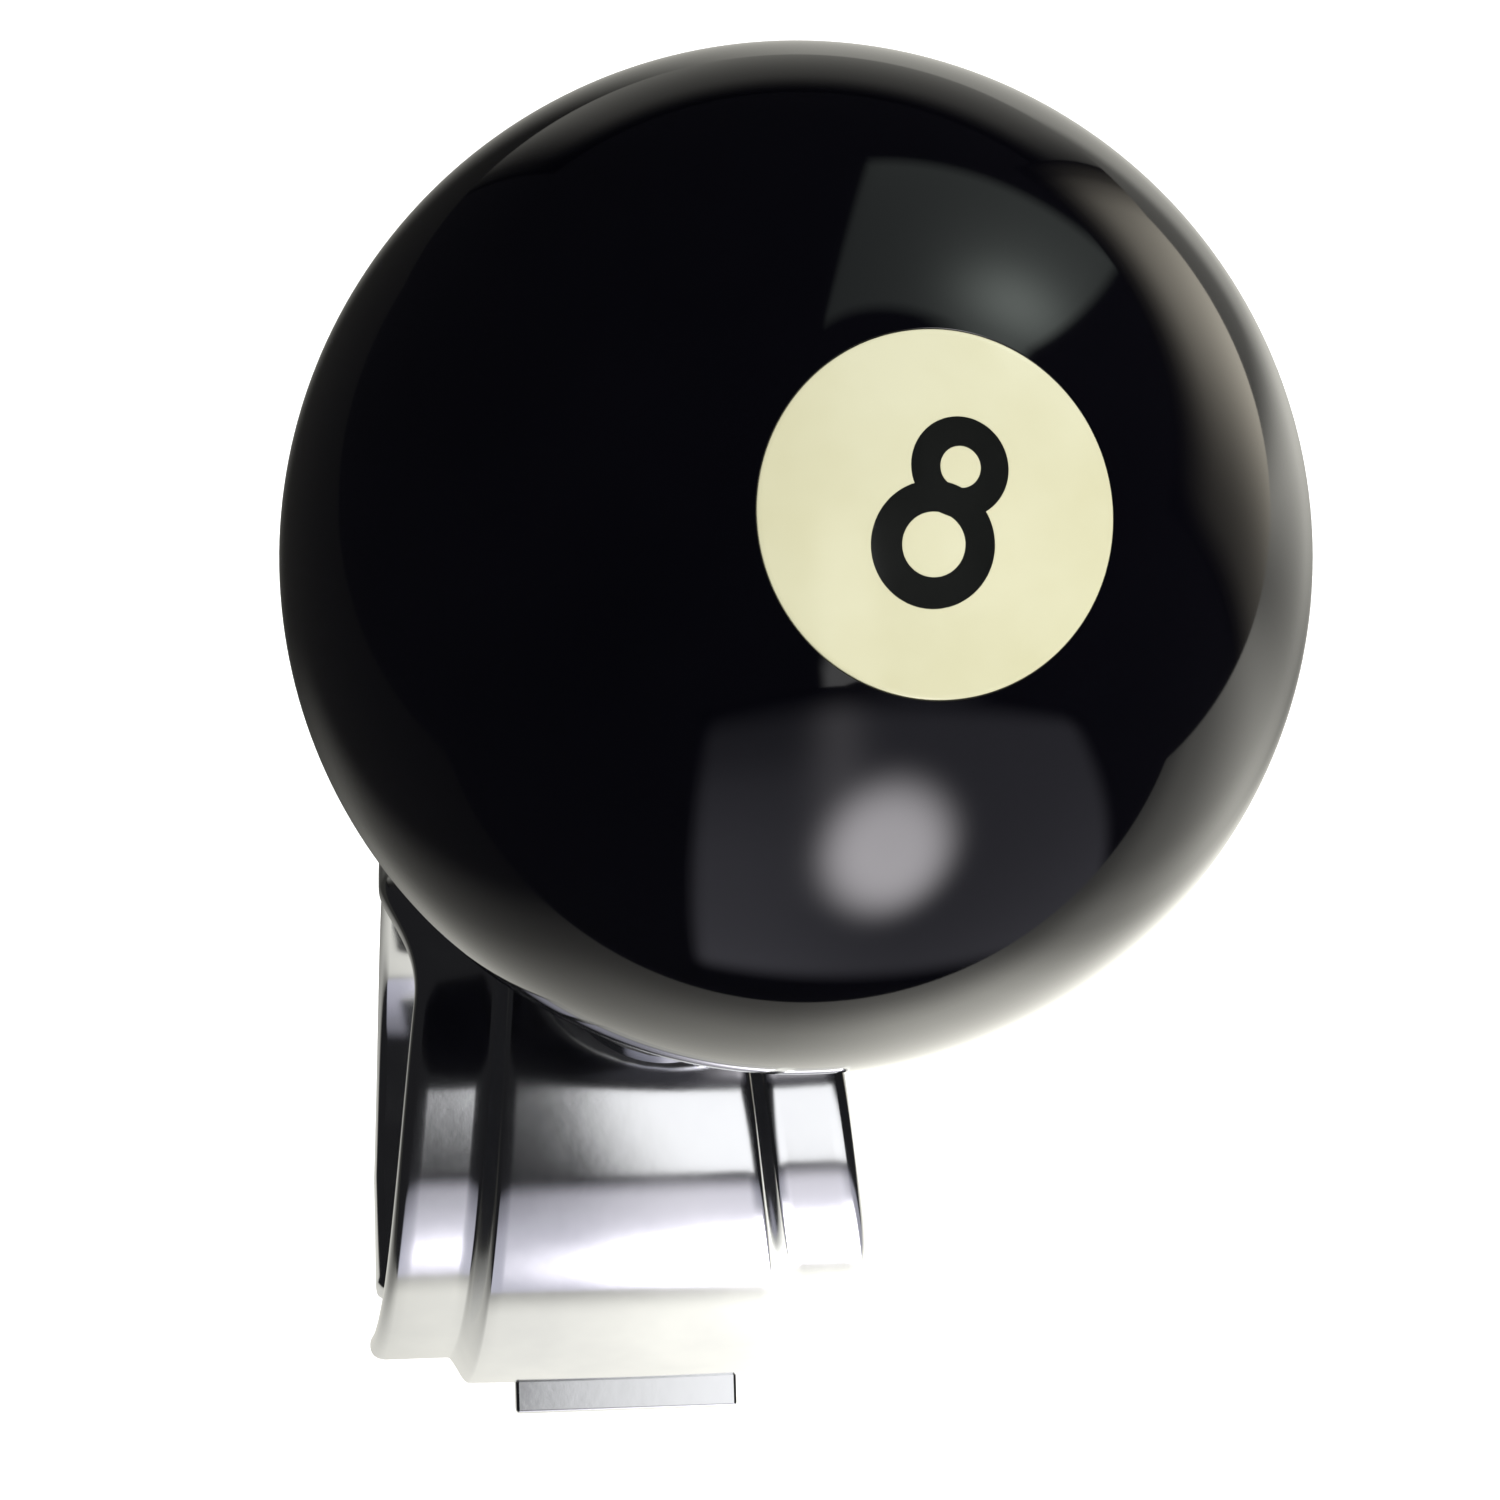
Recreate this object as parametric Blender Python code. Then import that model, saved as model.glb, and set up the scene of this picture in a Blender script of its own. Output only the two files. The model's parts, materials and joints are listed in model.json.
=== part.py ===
"""Steering wheel spinner knob: a black number-eight ball turning on a chrome rim clamp.

Metres in the file, millimetres in the constants. The rim of the wheel runs along X through
the origin, the flared front of the clamp faces -Y. The knob turns about an axis through the
origin that leans from +Z towards +X, and heights along it are measured from the origin.
Angles around the rim are measured from +Z over the front (-Y) and on underneath.
"""
import math

import bmesh
import bpy
from mathutils import Matrix, Vector
from mathutils.geometry import delaunay_2d_cdt

MM = 0.001

# ball and its inlay
BALL_RADIUS = 28.575
KNOB_LEAN = 8.4
BALL_HEIGHT = 61.8
BALL_RECESS_RADIUS = 10.6
BALL_RECESS_FLOOR = 36.4
BALL_BORE_RADIUS = 9.2
BALL_BORE_TOP = 52.6
DISC_RADIUS = 9.44
DISC_POCKET_RADIUS = 9.50
DISC_FLOOR = 25.60
DISC_POCKET_FLOOR = 25.50
DISC_LEAN = 29.7
DISC_BEARING = -8.8
NUMERAL_TURN = 25.0
NUMERAL_FLOOR = 27.50
NUMERAL_POCKET_FLOOR = 27.40
NUMERAL_GAP = 0.05
LOOP_SPACING = 4.21
TOP_LOOP = (2.58, 1.09)
BOTTOM_LOOP = (3.23, 1.67)
LOOP_CENTRE_OFFSET = 0.32

# spindle stack, heights along the knob axis
STUD_HEAD = (14.30, 15.55)
STUD_HEAD_RADIUS = 4.25
SHANK_RADIUS = 3.0
SHANK_TOP = 27.0
THREAD_RADIUS = 2.4
STUD_TOP = 34.0
BEARING_BOTTOM = 22.15
BEARING_TOP = 27.0
BEARING_PITCH = 5.425
BEARING_BALL = 1.15
GROOVE_RADIUS = 1.25
BEARING_BALLS = 8
INNER_RING = (3.15, 4.50)
OUTER_RING = (6.35, 7.50)
HUB_BOTTOM = 20.9
HUB_FLANGE_TOP = 36.1
HUB_TOP = 47.0

# clamp section
INNER_RADIUS = 14.7
WING_RADIUS = 16.5
BAND_RADIUS = 18.3
FRONT_END = 113.0
BACK_END = -64.0
LINER_RADII = (13.35, 14.40)
PAD_RADIUS = 7.0
PAD_HEIGHTS = (15.7, 19.6)
REAR_HALF = 15.1
STUD_HOLE = 3.2

# hinge at the bottom of the front
PIN_ANGLE = 128.0
PIN_DISTANCE = 16.0
PIN_RADIUS = 1.1
LUG_INNER = 7.55
LUG_THICKNESS = 1.8
LUG_RADIUS = 2.2
KNUCKLE_RADIUS = 2.5
KNUCKLE_HALF = 7.25
LIP_ANGLE = 123.0
LIP_REACH = 4.5
LIP_THICKNESS = 2.0

# clamp bolt at the back
BOLT_TILT = 36.0
BOLT_REACH = 39.6
UPPER_EAR = (-3.4, -0.6)
LOWER_EAR = (-8.4, -5.6)
EAR_HALF = 6.4
BOLT_SHANK = 2.4
BOLT_TIP = 4.2
BOLT_HEAD = (-15.9, -10.9)
BOLT_HEAD_RADIUS = 4.25
NUT_HEIGHTS = (-0.45, 3.55)
NUT_ACROSS_FLATS = 8.0
FLAT_WASHER = (-9.5, -8.5)
SPRING_WASHER = (-10.8, -9.6)


def around(angle, radius):
    """The (y, z) point at an angle around the rim, measured from the top over the front."""
    turn = math.radians(angle)
    return -radius * math.sin(turn), radius * math.cos(turn)


PIN_Y, PIN_Z = around(PIN_ANGLE, PIN_DISTANCE)
EAR_Y = PIN_Y + BOLT_REACH * math.cos(math.radians(BOLT_TILT))
EAR_Z = PIN_Z + BOLT_REACH * math.sin(math.radians(BOLT_TILT))
LEAN = Matrix.Rotation(math.radians(KNOB_LEAN), 3, "Y")


def clear_scene():
    """Start from nothing."""
    for thing in list(bpy.data.objects):
        bpy.data.objects.remove(thing)


def material(name, colour, roughness, metallic=0.0, coat=0.0):
    """A plain Principled finish."""
    made = bpy.data.materials.new(name)
    made.use_nodes = True
    shader = made.node_tree.nodes["Principled BSDF"]
    shader.inputs["Base Color"].default_value = (*colour, 1.0)
    shader.inputs["Roughness"].default_value = roughness
    shader.inputs["Metallic"].default_value = metallic
    shader.inputs["Coat Weight"].default_value = coat
    made.diffuse_color = (*colour, 1.0)
    return made


def add_mesh(name, points, faces, finish, place=(0.0, 0.0, 0.0), turn=(0.0, 0.0, 0.0)):
    """An object from points in millimetres, its faces turned outwards."""
    mesh = bpy.data.meshes.new(name)
    mesh.from_pydata([Vector(p) * MM for p in points], [], faces)
    work = bmesh.new()
    work.from_mesh(mesh)
    bmesh.ops.remove_doubles(work, verts=work.verts, dist=1e-7)
    bmesh.ops.recalc_face_normals(work, faces=work.faces)
    work.to_mesh(mesh)
    work.free()
    mesh.materials.append(finish)
    made = bpy.data.objects.new(name, mesh)
    made.location = Vector(place) * MM
    made.rotation_euler = turn
    bpy.context.scene.collection.objects.link(made)
    return made


def lathe(profile, segments, start=0.0, sweep=360.0):
    """Points and faces of a closed (radius, height) outline turned about Z."""
    full = sweep >= 360.0
    stations = segments if full else segments + 1
    points = []
    for i in range(stations):
        angle = math.radians(start + sweep * i / segments)
        points += [(r * math.cos(angle), r * math.sin(angle), z) for r, z in profile]
    count = len(profile)
    faces = []
    for i in range(segments):
        a, b = i * count, ((i + 1) % stations) * count
        for j in range(count):
            k = (j + 1) % count
            ring = [a + j, b + j, b + k, a + k]
            if profile[j][0] < 1e-9:
                ring = [a + j, b + k, a + k]
            if profile[k][0] < 1e-9:
                ring = [a + j, b + j, a + k]
            if profile[j][0] < 1e-9 and profile[k][0] < 1e-9:
                continue
            faces.append(ring)
    if not full:
        faces.append(list(range(count)))
        faces.append([(stations - 1) * count + j for j in range(count)])
    return points, faces


def prism(outline, low, high, axis="Z"):
    """A flat outline pushed from one level to another along Z, or along X for (y, z) outlines."""
    count = len(outline)
    points = []
    for level in (low, high):
        for u, v in outline:
            points.append((u, v, level) if axis == "Z" else (level, u, v))
    faces = [list(range(count)), list(range(count, 2 * count))]
    for j in range(count):
        k = (j + 1) % count
        faces.append([j, k, count + k, count + j])
    return points, faces


def circle(centre, radius, steps, start=0.0, sweep=360.0):
    """Points along a circle, without a repeated last point when it closes."""
    last = steps if sweep >= 360.0 else steps + 1
    return [(centre[0] + radius * math.cos(math.radians(start + sweep * i / steps)),
             centre[1] + radius * math.sin(math.radians(start + sweep * i / steps)))
            for i in range(last)]


def cut_or_join(body, tool, operation):
    """An exact Boolean that keeps the tool in the file as a hidden wire shape."""
    step = body.modifiers.new(tool.name, "BOOLEAN")
    step.operation = operation
    step.solver = "EXACT"
    step.object = tool
    tool.hide_render = True
    tool.display_type = "WIRE"


def strip(levels, widths, start, end, steps):
    """A pressed strip bent about the X axis.

    levels gives (inner, wing, band) radii; widths gives the half widths of the wing edge, the
    foot of the raised band and its top at an angle. The sheet keeps one thickness throughout.
    """
    inner, wing, band = levels
    thick = wing - inner
    soft = 0.35
    points, faces, count = [], [], 0
    for i in range(steps + 1):
        angle = start + (end - start) * i / steps
        edge, foot, top = widths(angle)
        lift = band - wing
        outer = [(edge - soft, wing), (foot, wing), (top, band)]
        under_top = top - 0.6 * lift
        under_foot = foot - 0.6 * lift
        below = [(under_top, band - thick), (under_foot, inner), (edge - soft, inner)]
        half = outer[::-1] + [(edge, wing - soft), (edge, inner + soft)] + below[::-1]
        if lift < 1e-6:
            half = [(edge - soft, wing), (edge, wing - soft), (edge, inner + soft),
                    (edge - soft, inner)]
        section = half + [(-x, r) for x, r in reversed(half)]
        count = len(section)
        for x, r in section:
            y, z = around(angle, r)
            points.append((x, y, z))
    for i in range(steps):
        a, b = i * count, (i + 1) * count
        for j in range(count):
            k = (j + 1) % count
            faces.append([a + j, a + k, b + k, b + j])
    faces.append(list(range(count)))
    faces.append([steps * count + j for j in range(count)])
    return points, faces


def ease(t):
    """Smooth step from 0 to 1."""
    t = max(0.0, min(1.0, t))
    return t * t * (3.0 - 2.0 * t)


def saddle_widths(angle):
    """Half widths of the flared saddle: wing edge, foot and top of the raised band."""
    u = (angle - 60.0) / 60.0
    rear = ease((5.0 - angle) / 38.0)
    corner = 0.8 * max(0.0, (angle - 109.5) / 3.5)
    edge = (14.85 + 2.0 * u - corner) * (1.0 - rear) + REAR_HALF * rear
    foot = 9.75 + 2.0 * u + 0.25 * u * u
    return edge, foot, foot - 1.35


def jaw_widths(angle):
    """Half widths of the lower jaw: narrow at the hinge, as wide as the saddle elsewhere."""
    wide = 16.2 - 1.1 * max(0.0, (angle - 190.0) / 80.0)
    edge = 6.6 + (wide - 6.6) * ease((angle - 142.0) / 16.0)
    return edge, 5.6, 4.3


def hull(points):
    """Convex outline of flat points, in order."""
    ordered = sorted(set(points))

    def half(sequence):
        chain = []
        for p in sequence:
            while len(chain) > 1 and ((chain[-1][0] - chain[-2][0]) * (p[1] - chain[-2][1])
                                      - (chain[-1][1] - chain[-2][1]) * (p[0] - chain[-2][0])) <= 0:
                chain.pop()
            chain.append(p)
        return chain[:-1]

    return half(ordered) + half(ordered[::-1])


def ear_outline(reach_in):
    """A plate with a round outer end, in the plane across the bolt; y runs outwards."""
    return ([(-EAR_HALF, -reach_in), (EAR_HALF, -reach_in)]
            + circle((0.0, 0.0), EAR_HALF, 20, 0.0, 180.0))


def on_knob_axis(name, shape, finish, place=(0.0, 0.0, 0.0), turn=None):
    """Places a shape made about +Z on the leaning axis of the knob."""
    spin = LEAN if turn is None else LEAN @ turn
    return add_mesh(name, *shape, finish, place=tuple(LEAN @ Vector(place)),
                    turn=spin.to_euler())


def in_clamp_frame(name, shape, finish):
    """Places a shape made about the bolt axis."""
    return add_mesh(name, *shape, finish, place=(0.0, EAR_Y, EAR_Z),
                    turn=(math.radians(BOLT_TILT), 0.0, 0.0))


def build_saddle(chrome):
    """Flared upper half with the mounting pad, the hinge lugs and the bolt ear."""
    levels = (INNER_RADIUS, WING_RADIUS, BAND_RADIUS)
    body = add_mesh("saddle", *strip(levels, saddle_widths, BACK_END, FRONT_END, 36), chrome)
    low, high = PAD_HEIGHTS
    pad = on_knob_axis("cut_pad", lathe([(0.0, low), (PAD_RADIUS, low), (PAD_RADIUS, high - 0.5),
                                         (PAD_RADIUS - 0.5, high), (0.0, high)], 48), chrome)
    cut_or_join(body, pad, "UNION")
    ear = in_clamp_frame("cut_upper_ear", prism(ear_outline(8.6), *UPPER_EAR), chrome)
    cut_or_join(body, ear, "UNION")
    lug = hull(circle((PIN_Y, PIN_Z), LUG_RADIUS, 24)
               + [around(110.0, 17.3), around(110.0, 16.8), around(113.5, 17.9),
                  around(113.5, 15.9)])
    for side, name in ((-1, "cut_lug_left"), (1, "cut_lug_right")):
        span = sorted((side * LUG_INNER, side * (LUG_INNER + LUG_THICKNESS)))
        cut_or_join(body, add_mesh(name, *prism(lug, *span, axis="X"), chrome), "UNION")
    bore = add_mesh("cut_pin_bore", *prism(circle((PIN_Y, PIN_Z), PIN_RADIUS + 0.12, 24),
                                           -12.0, 12.0, axis="X"), chrome)
    cut_or_join(body, bore, "DIFFERENCE")
    stud_hole = on_knob_axis("cut_stud_hole", prism(circle((0.0, 0.0), STUD_HOLE, 32), 12.0, 22.0),
                             chrome)
    cut_or_join(body, stud_hole, "DIFFERENCE")
    bolt_hole = in_clamp_frame("cut_bolt_hole", prism(circle((0.0, 0.0), 2.95, 32), -5.0, 1.0),
                               chrome)
    cut_or_join(body, bolt_hole, "DIFFERENCE")


def build_jaw(chrome):
    """Ribbed lower strap with the hinge knuckle, its lip and the lower bolt ear."""
    levels = (INNER_RADIUS, WING_RADIUS, WING_RADIUS + 1.0)
    points, faces = strip(levels, jaw_widths, PIN_ANGLE + 4.0, 277.0, 30)
    knuckle = circle((0.0, 0.0), KNUCKLE_RADIUS, 28)
    shift = [(x, y - PIN_Y, z - PIN_Z) for x, y, z in points]
    body = add_mesh("lower_jaw", shift, faces, chrome, place=(0.0, PIN_Y, PIN_Z))
    half_lip = LIP_THICKNESS / 2.0
    out = math.radians(LIP_ANGLE)
    flat = [(0.0, -half_lip), (LIP_REACH - 0.35, -half_lip), (LIP_REACH, -half_lip + 0.35),
            (LIP_REACH, half_lip - 0.35), (LIP_REACH - 0.35, half_lip), (0.0, half_lip)]
    lip = [(-a * math.sin(out) - b * math.cos(out), a * math.cos(out) - b * math.sin(out))
           for a, b in flat]
    for name, outline in (("cut_knuckle", knuckle), ("cut_lip", lip)):
        tool = add_mesh(name, *prism(outline, -KNUCKLE_HALF, KNUCKLE_HALF, axis="X"), chrome,
                        place=(0.0, PIN_Y, PIN_Z))
        cut_or_join(body, tool, "UNION")
    ear = in_clamp_frame("cut_lower_ear", prism(ear_outline(9.6), *LOWER_EAR), chrome)
    cut_or_join(body, ear, "UNION")
    bore = add_mesh("cut_knuckle_bore", *prism(circle((0.0, 0.0), PIN_RADIUS + 0.2, 24),
                                               -12.0, 12.0, axis="X"), chrome,
                    place=(0.0, PIN_Y, PIN_Z))
    cut_or_join(body, bore, "DIFFERENCE")
    bolt_hole = in_clamp_frame("cut_lower_bolt_hole",
                               prism(circle((0.0, 0.0), 2.75, 32), -12.0, -3.0), chrome)
    cut_or_join(body, bolt_hole, "DIFFERENCE")


def build_liners(rubber):
    """Rubber strips between the clamp and the rim."""
    inner, outer = LINER_RADII

    def upper(angle):
        return min(saddle_widths(angle)[0] - 1.2, 16.6), 0.0, 0.0

    def lower(angle):
        return 0.78 * jaw_widths(angle)[0], 0.0, 0.0

    body = add_mesh("saddle_liner", *strip((inner, outer, outer), upper, -62.0, 110.0, 30), rubber)
    hole = on_knob_axis("cut_liner_hole", prism(circle((0.0, 0.0), 5.1, 28), 10.0, 16.0), rubber)
    cut_or_join(body, hole, "DIFFERENCE")
    points, faces = strip((inner, outer, outer), lower, 143.0, 272.0, 22)
    add_mesh("jaw_liner", [(x, y - PIN_Y, z - PIN_Z) for x, y, z in points], faces, rubber,
             place=(0.0, PIN_Y, PIN_Z))


def build_hinge(steel):
    """Headed pin through the lugs and knuckle, and the clip on its other end."""
    turn = (0.0, math.radians(90.0), 0.0)
    pin = lathe([(0.0, -10.6), (0.8, -10.6), (PIN_RADIUS, -10.3), (PIN_RADIUS, 9.5), (1.8, 9.5),
                 (1.8, 9.9), (1.3, 10.4), (0.0, 10.4)], 24)
    add_mesh("hinge_pin", *pin, steel, place=(0.0, PIN_Y, PIN_Z), turn=turn)
    clip = lathe([(1.2, -10.15), (1.95, -10.15), (1.95, -9.55), (1.2, -9.55)], 22, 25.0, 310.0)
    add_mesh("pin_clip", *clip, steel, place=(0.0, PIN_Y, PIN_Z), turn=turn)


def hexagon(across, angle):
    """Radius of a hexagon's edge at an angle in degrees."""
    return across / 2.0 / math.cos(math.radians((angle % 60.0) - 30.0))


def hex_solid(levels, across, bore, steps=36):
    """A hexagonal body with chamfered corners and a round bore; levels are (height, limit)."""
    rings = [[min(hexagon(across, 360.0 * i / steps), limit) for i in range(steps)]
             for _, limit in levels]
    points = []
    for i in range(steps):
        angle = math.radians(360.0 * i / steps)
        column = [(rings[k][i], levels[k][0]) for k in range(len(levels))]
        column += [(bore, levels[-1][0]), (bore, levels[0][0])]
        points += [(r * math.cos(angle), r * math.sin(angle), z) for r, z in column]
    count = len(levels) + 2
    faces = []
    for i in range(steps):
        a, b = i * count, ((i + 1) % steps) * count
        faces += [[a + j, b + j, b + (j + 1) % count, a + (j + 1) % count] for j in range(count)]
    return points, faces


def nut_levels(low, high, across):
    """Chamfered ends for a nut between two heights."""
    corner = across / 2.0 / math.cos(math.radians(30.0))
    return [(low, across * 0.47), (low + 0.45, corner), (high - 0.45, corner),
            (high, across * 0.47)]


def build_clamp_screw(steel):
    """Socket head bolt, its two washers and the nut on the upper ear."""
    bolt = in_clamp_frame("clamp_bolt", lathe(
        [(0.0, BOLT_HEAD[0]), (3.75, BOLT_HEAD[0]), (BOLT_HEAD_RADIUS, BOLT_HEAD[0] + 0.5),
         (BOLT_HEAD_RADIUS, BOLT_HEAD[1]), (BOLT_SHANK, BOLT_HEAD[1]),
         (BOLT_SHANK, BOLT_TIP - 0.6), (BOLT_SHANK - 0.6, BOLT_TIP), (0.0, BOLT_TIP)], 30), steel)
    socket = in_clamp_frame("cut_socket", prism(circle((0.0, 0.0), 2.31, 6),
                                                BOLT_HEAD[0] - 1.0, BOLT_HEAD[0] + 2.7), steel)
    cut_or_join(bolt, socket, "DIFFERENCE")
    low, high = FLAT_WASHER
    in_clamp_frame("clamp_flat_washer", lathe([(2.7, low), (4.9, low), (4.9, high), (2.7, high)],
                                              28), steel)
    low, high = SPRING_WASHER
    in_clamp_frame("clamp_spring_washer", lathe([(2.7, low), (4.3, low), (4.3, high), (2.7, high)],
                                                26, 6.0, 348.0), steel)
    nut = hex_solid(nut_levels(*NUT_HEIGHTS, NUT_ACROSS_FLATS), NUT_ACROSS_FLATS, 2.9)
    in_clamp_frame("clamp_nut", nut, steel)


def build_spindle(steel, nylon):
    """Stud fixed in the saddle with its spacer, washer, lock nut and dust washer."""
    stud = on_knob_axis("spindle_stud", lathe(
        [(0.0, STUD_HEAD[0]), (STUD_HEAD_RADIUS - 0.4, STUD_HEAD[0]),
         (STUD_HEAD_RADIUS, STUD_HEAD[0] + 0.4), (STUD_HEAD_RADIUS, STUD_HEAD[1]),
         (SHANK_RADIUS, STUD_HEAD[1]), (SHANK_RADIUS, SHANK_TOP), (THREAD_RADIUS, SHANK_TOP),
         (THREAD_RADIUS, STUD_TOP - 0.6), (THREAD_RADIUS - 0.6, STUD_TOP), (0.0, STUD_TOP)],
        28), steel)
    slot = on_knob_axis("cut_slot", prism([(-6.0, -0.6), (6.0, -0.6), (6.0, 0.6), (-6.0, 0.6)],
                                          12.6, STUD_HEAD[0] + 0.55), steel)
    cut_or_join(stud, slot, "DIFFERENCE")
    on_knob_axis("bearing_spacer", lathe([(3.15, 19.75), (4.6, 19.75), (4.6, 22.05),
                                          (3.15, 22.05)], 28), steel)
    on_knob_axis("dust_washer", lathe([(4.9, 19.75), (8.2, 19.75), (8.2, 20.4), (4.9, 20.4)], 32),
                 nylon)
    on_knob_axis("spindle_washer", lathe([(2.65, 27.1), (4.6, 27.1), (4.6, 27.9), (2.65, 27.9)],
                                         26), steel)
    on_knob_axis("spindle_nut", hex_solid(nut_levels(28.0, 32.0, 8.0), 8.0, 2.6), steel)


def build_bearing(steel, cage_steel):
    """Deep groove ball bearing: inner ring, outer ring, cage and eight balls."""
    middle = (BEARING_BOTTOM + BEARING_TOP) / 2.0

    def groove(side, face, steps=5):
        reach = math.sqrt(GROOVE_RADIUS ** 2 - (BEARING_PITCH - face) ** 2)
        limit = math.asin(reach / GROOVE_RADIUS)
        path = []
        for i in range(steps + 1):
            lean = -limit + 2.0 * limit * i / steps
            path.append((BEARING_PITCH + side * GROOVE_RADIUS * math.cos(lean),
                         middle + GROOVE_RADIUS * math.sin(lean)))
        return path

    bore, face = INNER_RING
    on_knob_axis("bearing_inner_ring", lathe(
        [(bore, BEARING_BOTTOM), (face, BEARING_BOTTOM)] + groove(-1, face)
        + [(face, BEARING_TOP), (bore, BEARING_TOP)], 32), steel)
    face, rim = OUTER_RING
    on_knob_axis("bearing_outer_ring", lathe(
        [(rim, BEARING_BOTTOM), (face, BEARING_BOTTOM)] + groove(1, face)
        + [(face, BEARING_TOP), (rim, BEARING_TOP)], 32), steel)

    cage = on_knob_axis("bearing_cage", lathe(
        [(4.8, middle + 1.35), (6.05, middle + 1.35), (6.05, middle + 1.9), (4.8, middle + 1.9)],
        32), cage_steel)
    finger = prism([(4.95, -0.5), (5.9, -0.5), (5.9, 0.5), (4.95, 0.5)], middle - 0.8,
                   middle + 1.6)
    for i in range(BEARING_BALLS):
        turn = Matrix.Rotation(math.radians(360.0 * (i + 0.5) / BEARING_BALLS), 3, "Z")
        tool = on_knob_axis("cut_finger_%d" % (i + 1), finger, cage_steel, turn=turn)
        cut_or_join(cage, tool, "UNION")

    steps = 6
    ball = lathe([(0.0, -BEARING_BALL)]
                 + [(BEARING_BALL * math.sin(math.pi * k / steps),
                     -BEARING_BALL * math.cos(math.pi * k / steps)) for k in range(1, steps)]
                 + [(0.0, BEARING_BALL)], 12)
    for i in range(BEARING_BALLS):
        turn = 2.0 * math.pi * i / BEARING_BALLS
        place = (BEARING_PITCH * math.cos(turn), BEARING_PITCH * math.sin(turn), middle)
        on_knob_axis("bearing_ball_%d" % (i + 1), ball, steel, place=place)


def build_hub(chrome, steel):
    """Chrome collar under the ball that carries the bearing, and the ring that keeps it in."""
    on_knob_axis("hub_collar", lathe(
        [(7.62, HUB_BOTTOM + 0.3), (7.92, HUB_BOTTOM), (8.6, HUB_BOTTOM), (8.9, HUB_BOTTOM + 0.3),
         (9.3, 22.2), (9.3, 22.8), (9.05, 23.6), (8.95, 26.0), (8.95, 30.0), (9.1, 32.4),
         (9.5, 33.8), (10.1, 34.9), (10.3, 35.4), (10.3, HUB_FLANGE_TOP), (6.9, HUB_FLANGE_TOP),
         (6.9, HUB_TOP - 0.5), (6.4, HUB_TOP), (5.8, HUB_TOP), (5.8, 27.2), (7.62, 27.2),
         (7.62, 22.05), (8.15, 22.05), (8.15, 21.25), (7.62, 21.25)], 36), chrome)
    clip = lathe([(6.7, 21.35), (8.05, 21.35), (8.05, 21.98), (6.7, 21.98)], 28, 18.0, 324.0)
    on_knob_axis("hub_circlip", clip, steel)
    on_knob_axis("ball_insert", lathe(
        [(7.1, 36.6), (9.0, 36.6), (9.0, 39.6), (8.6, 40.0), (8.6, 41.2), (9.0, 41.6),
         (9.0, 46.4), (8.6, 46.8), (8.6, 48.0), (9.0, 48.4), (9.0, 51.6), (7.1, 51.6)], 28),
        bpy.data.materials["brass"])


def ball_frame():
    """Turn that takes +Z to the middle of the inlaid disc, numeral upright along its +Y."""
    lean, bearing = math.radians(DISC_LEAN), math.radians(DISC_BEARING)
    out = Vector((-math.sin(lean) * math.sin(bearing), -math.sin(lean) * math.cos(bearing),
                  math.cos(lean)))
    east = Vector((0.0, 0.0, 1.0)).cross(out).normalized()
    north = out.cross(east)
    turn = math.radians(NUMERAL_TURN)
    up = north * math.cos(turn) + east * math.sin(turn)
    side = up.cross(out)
    return Matrix((side, up, out)).transposed()


def numeral_loops(gap):
    """Outer outline and the two eyes of an eight made of two overlapping rings."""
    low = Vector((0.0, -LOOP_SPACING / 2.0 + LOOP_CENTRE_OFFSET))
    high = Vector((0.0, LOOP_SPACING / 2.0 + LOOP_CENTRE_OFFSET))
    big, small = BOTTOM_LOOP[0] + gap, TOP_LOOP[0] + gap
    along = (LOOP_SPACING ** 2 + big ** 2 - small ** 2) / (2.0 * LOOP_SPACING)
    waist = math.degrees(math.acos(along / big))
    crown = math.degrees(math.acos((LOOP_SPACING - along) / small))
    outer = circle(low, big, 28, 90.0 + waist, 360.0 - 2.0 * waist)
    outer += circle(high, small, 22, -90.0 + crown, 360.0 - 2.0 * crown)[1:-1]

    def eye(centre, radius, other, reach):
        ring = []
        for x, y in circle(centre, radius, 22):
            away = Vector((x, y)) - other
            if away.length < reach:
                x, y = other + away.normalized() * reach
            ring.append((x, y))
        return ring

    return [outer, eye(low, BOTTOM_LOOP[1] - gap, high, small),
            eye(high, TOP_LOOP[1] - gap, low, big)]


def domed_prism(loops, floor, ceiling):
    """Outlines lifted to the ball's surface on top (or to a flat ceiling), flat underneath."""
    flat, edges = [], []
    for loop in loops:
        first = len(flat)
        flat += [Vector(p) for p in loop]
        edges += [(first + i, first + (i + 1) % len(loop)) for i in range(len(loop))]
    verts, _, triangles, *_ = delaunay_2d_cdt(flat, edges, [], 0, 1e-6)
    outer, holes = loops[0], loops[1:]

    def inside(p, loop):
        hit = False
        for (x1, y1), (x2, y2) in zip(loop, loop[1:] + loop[:1]):
            if (y1 > p[1]) != (y2 > p[1]) and p[0] < (x2 - x1) * (p[1] - y1) / (y2 - y1) + x1:
                hit = not hit
        return hit

    kept = []
    for tri in triangles:
        middle = sum((verts[i] for i in tri), Vector((0.0, 0.0))) / 3.0
        if inside(middle, outer) and not any(inside(middle, hole) for hole in holes):
            kept.append(list(tri))
    top = [(v.x, v.y, math.sqrt(BALL_RADIUS ** 2 - v.x ** 2 - v.y ** 2)
            if ceiling is None else ceiling) for v in verts]
    count = len(verts)
    points = top + [(v.x, v.y, floor) for v in verts]
    faces = kept + [[count + i for i in reversed(tri)] for tri in kept]
    sides = {}
    for tri in kept:
        for a, b in zip(tri, tri[1:] + tri[:1]):
            sides[(a, b)] = sides.get((a, b), 0) + 1
    faces += [[a, b, count + b, count + a] for a, b in sides if (b, a) not in sides]
    return points, faces


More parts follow.
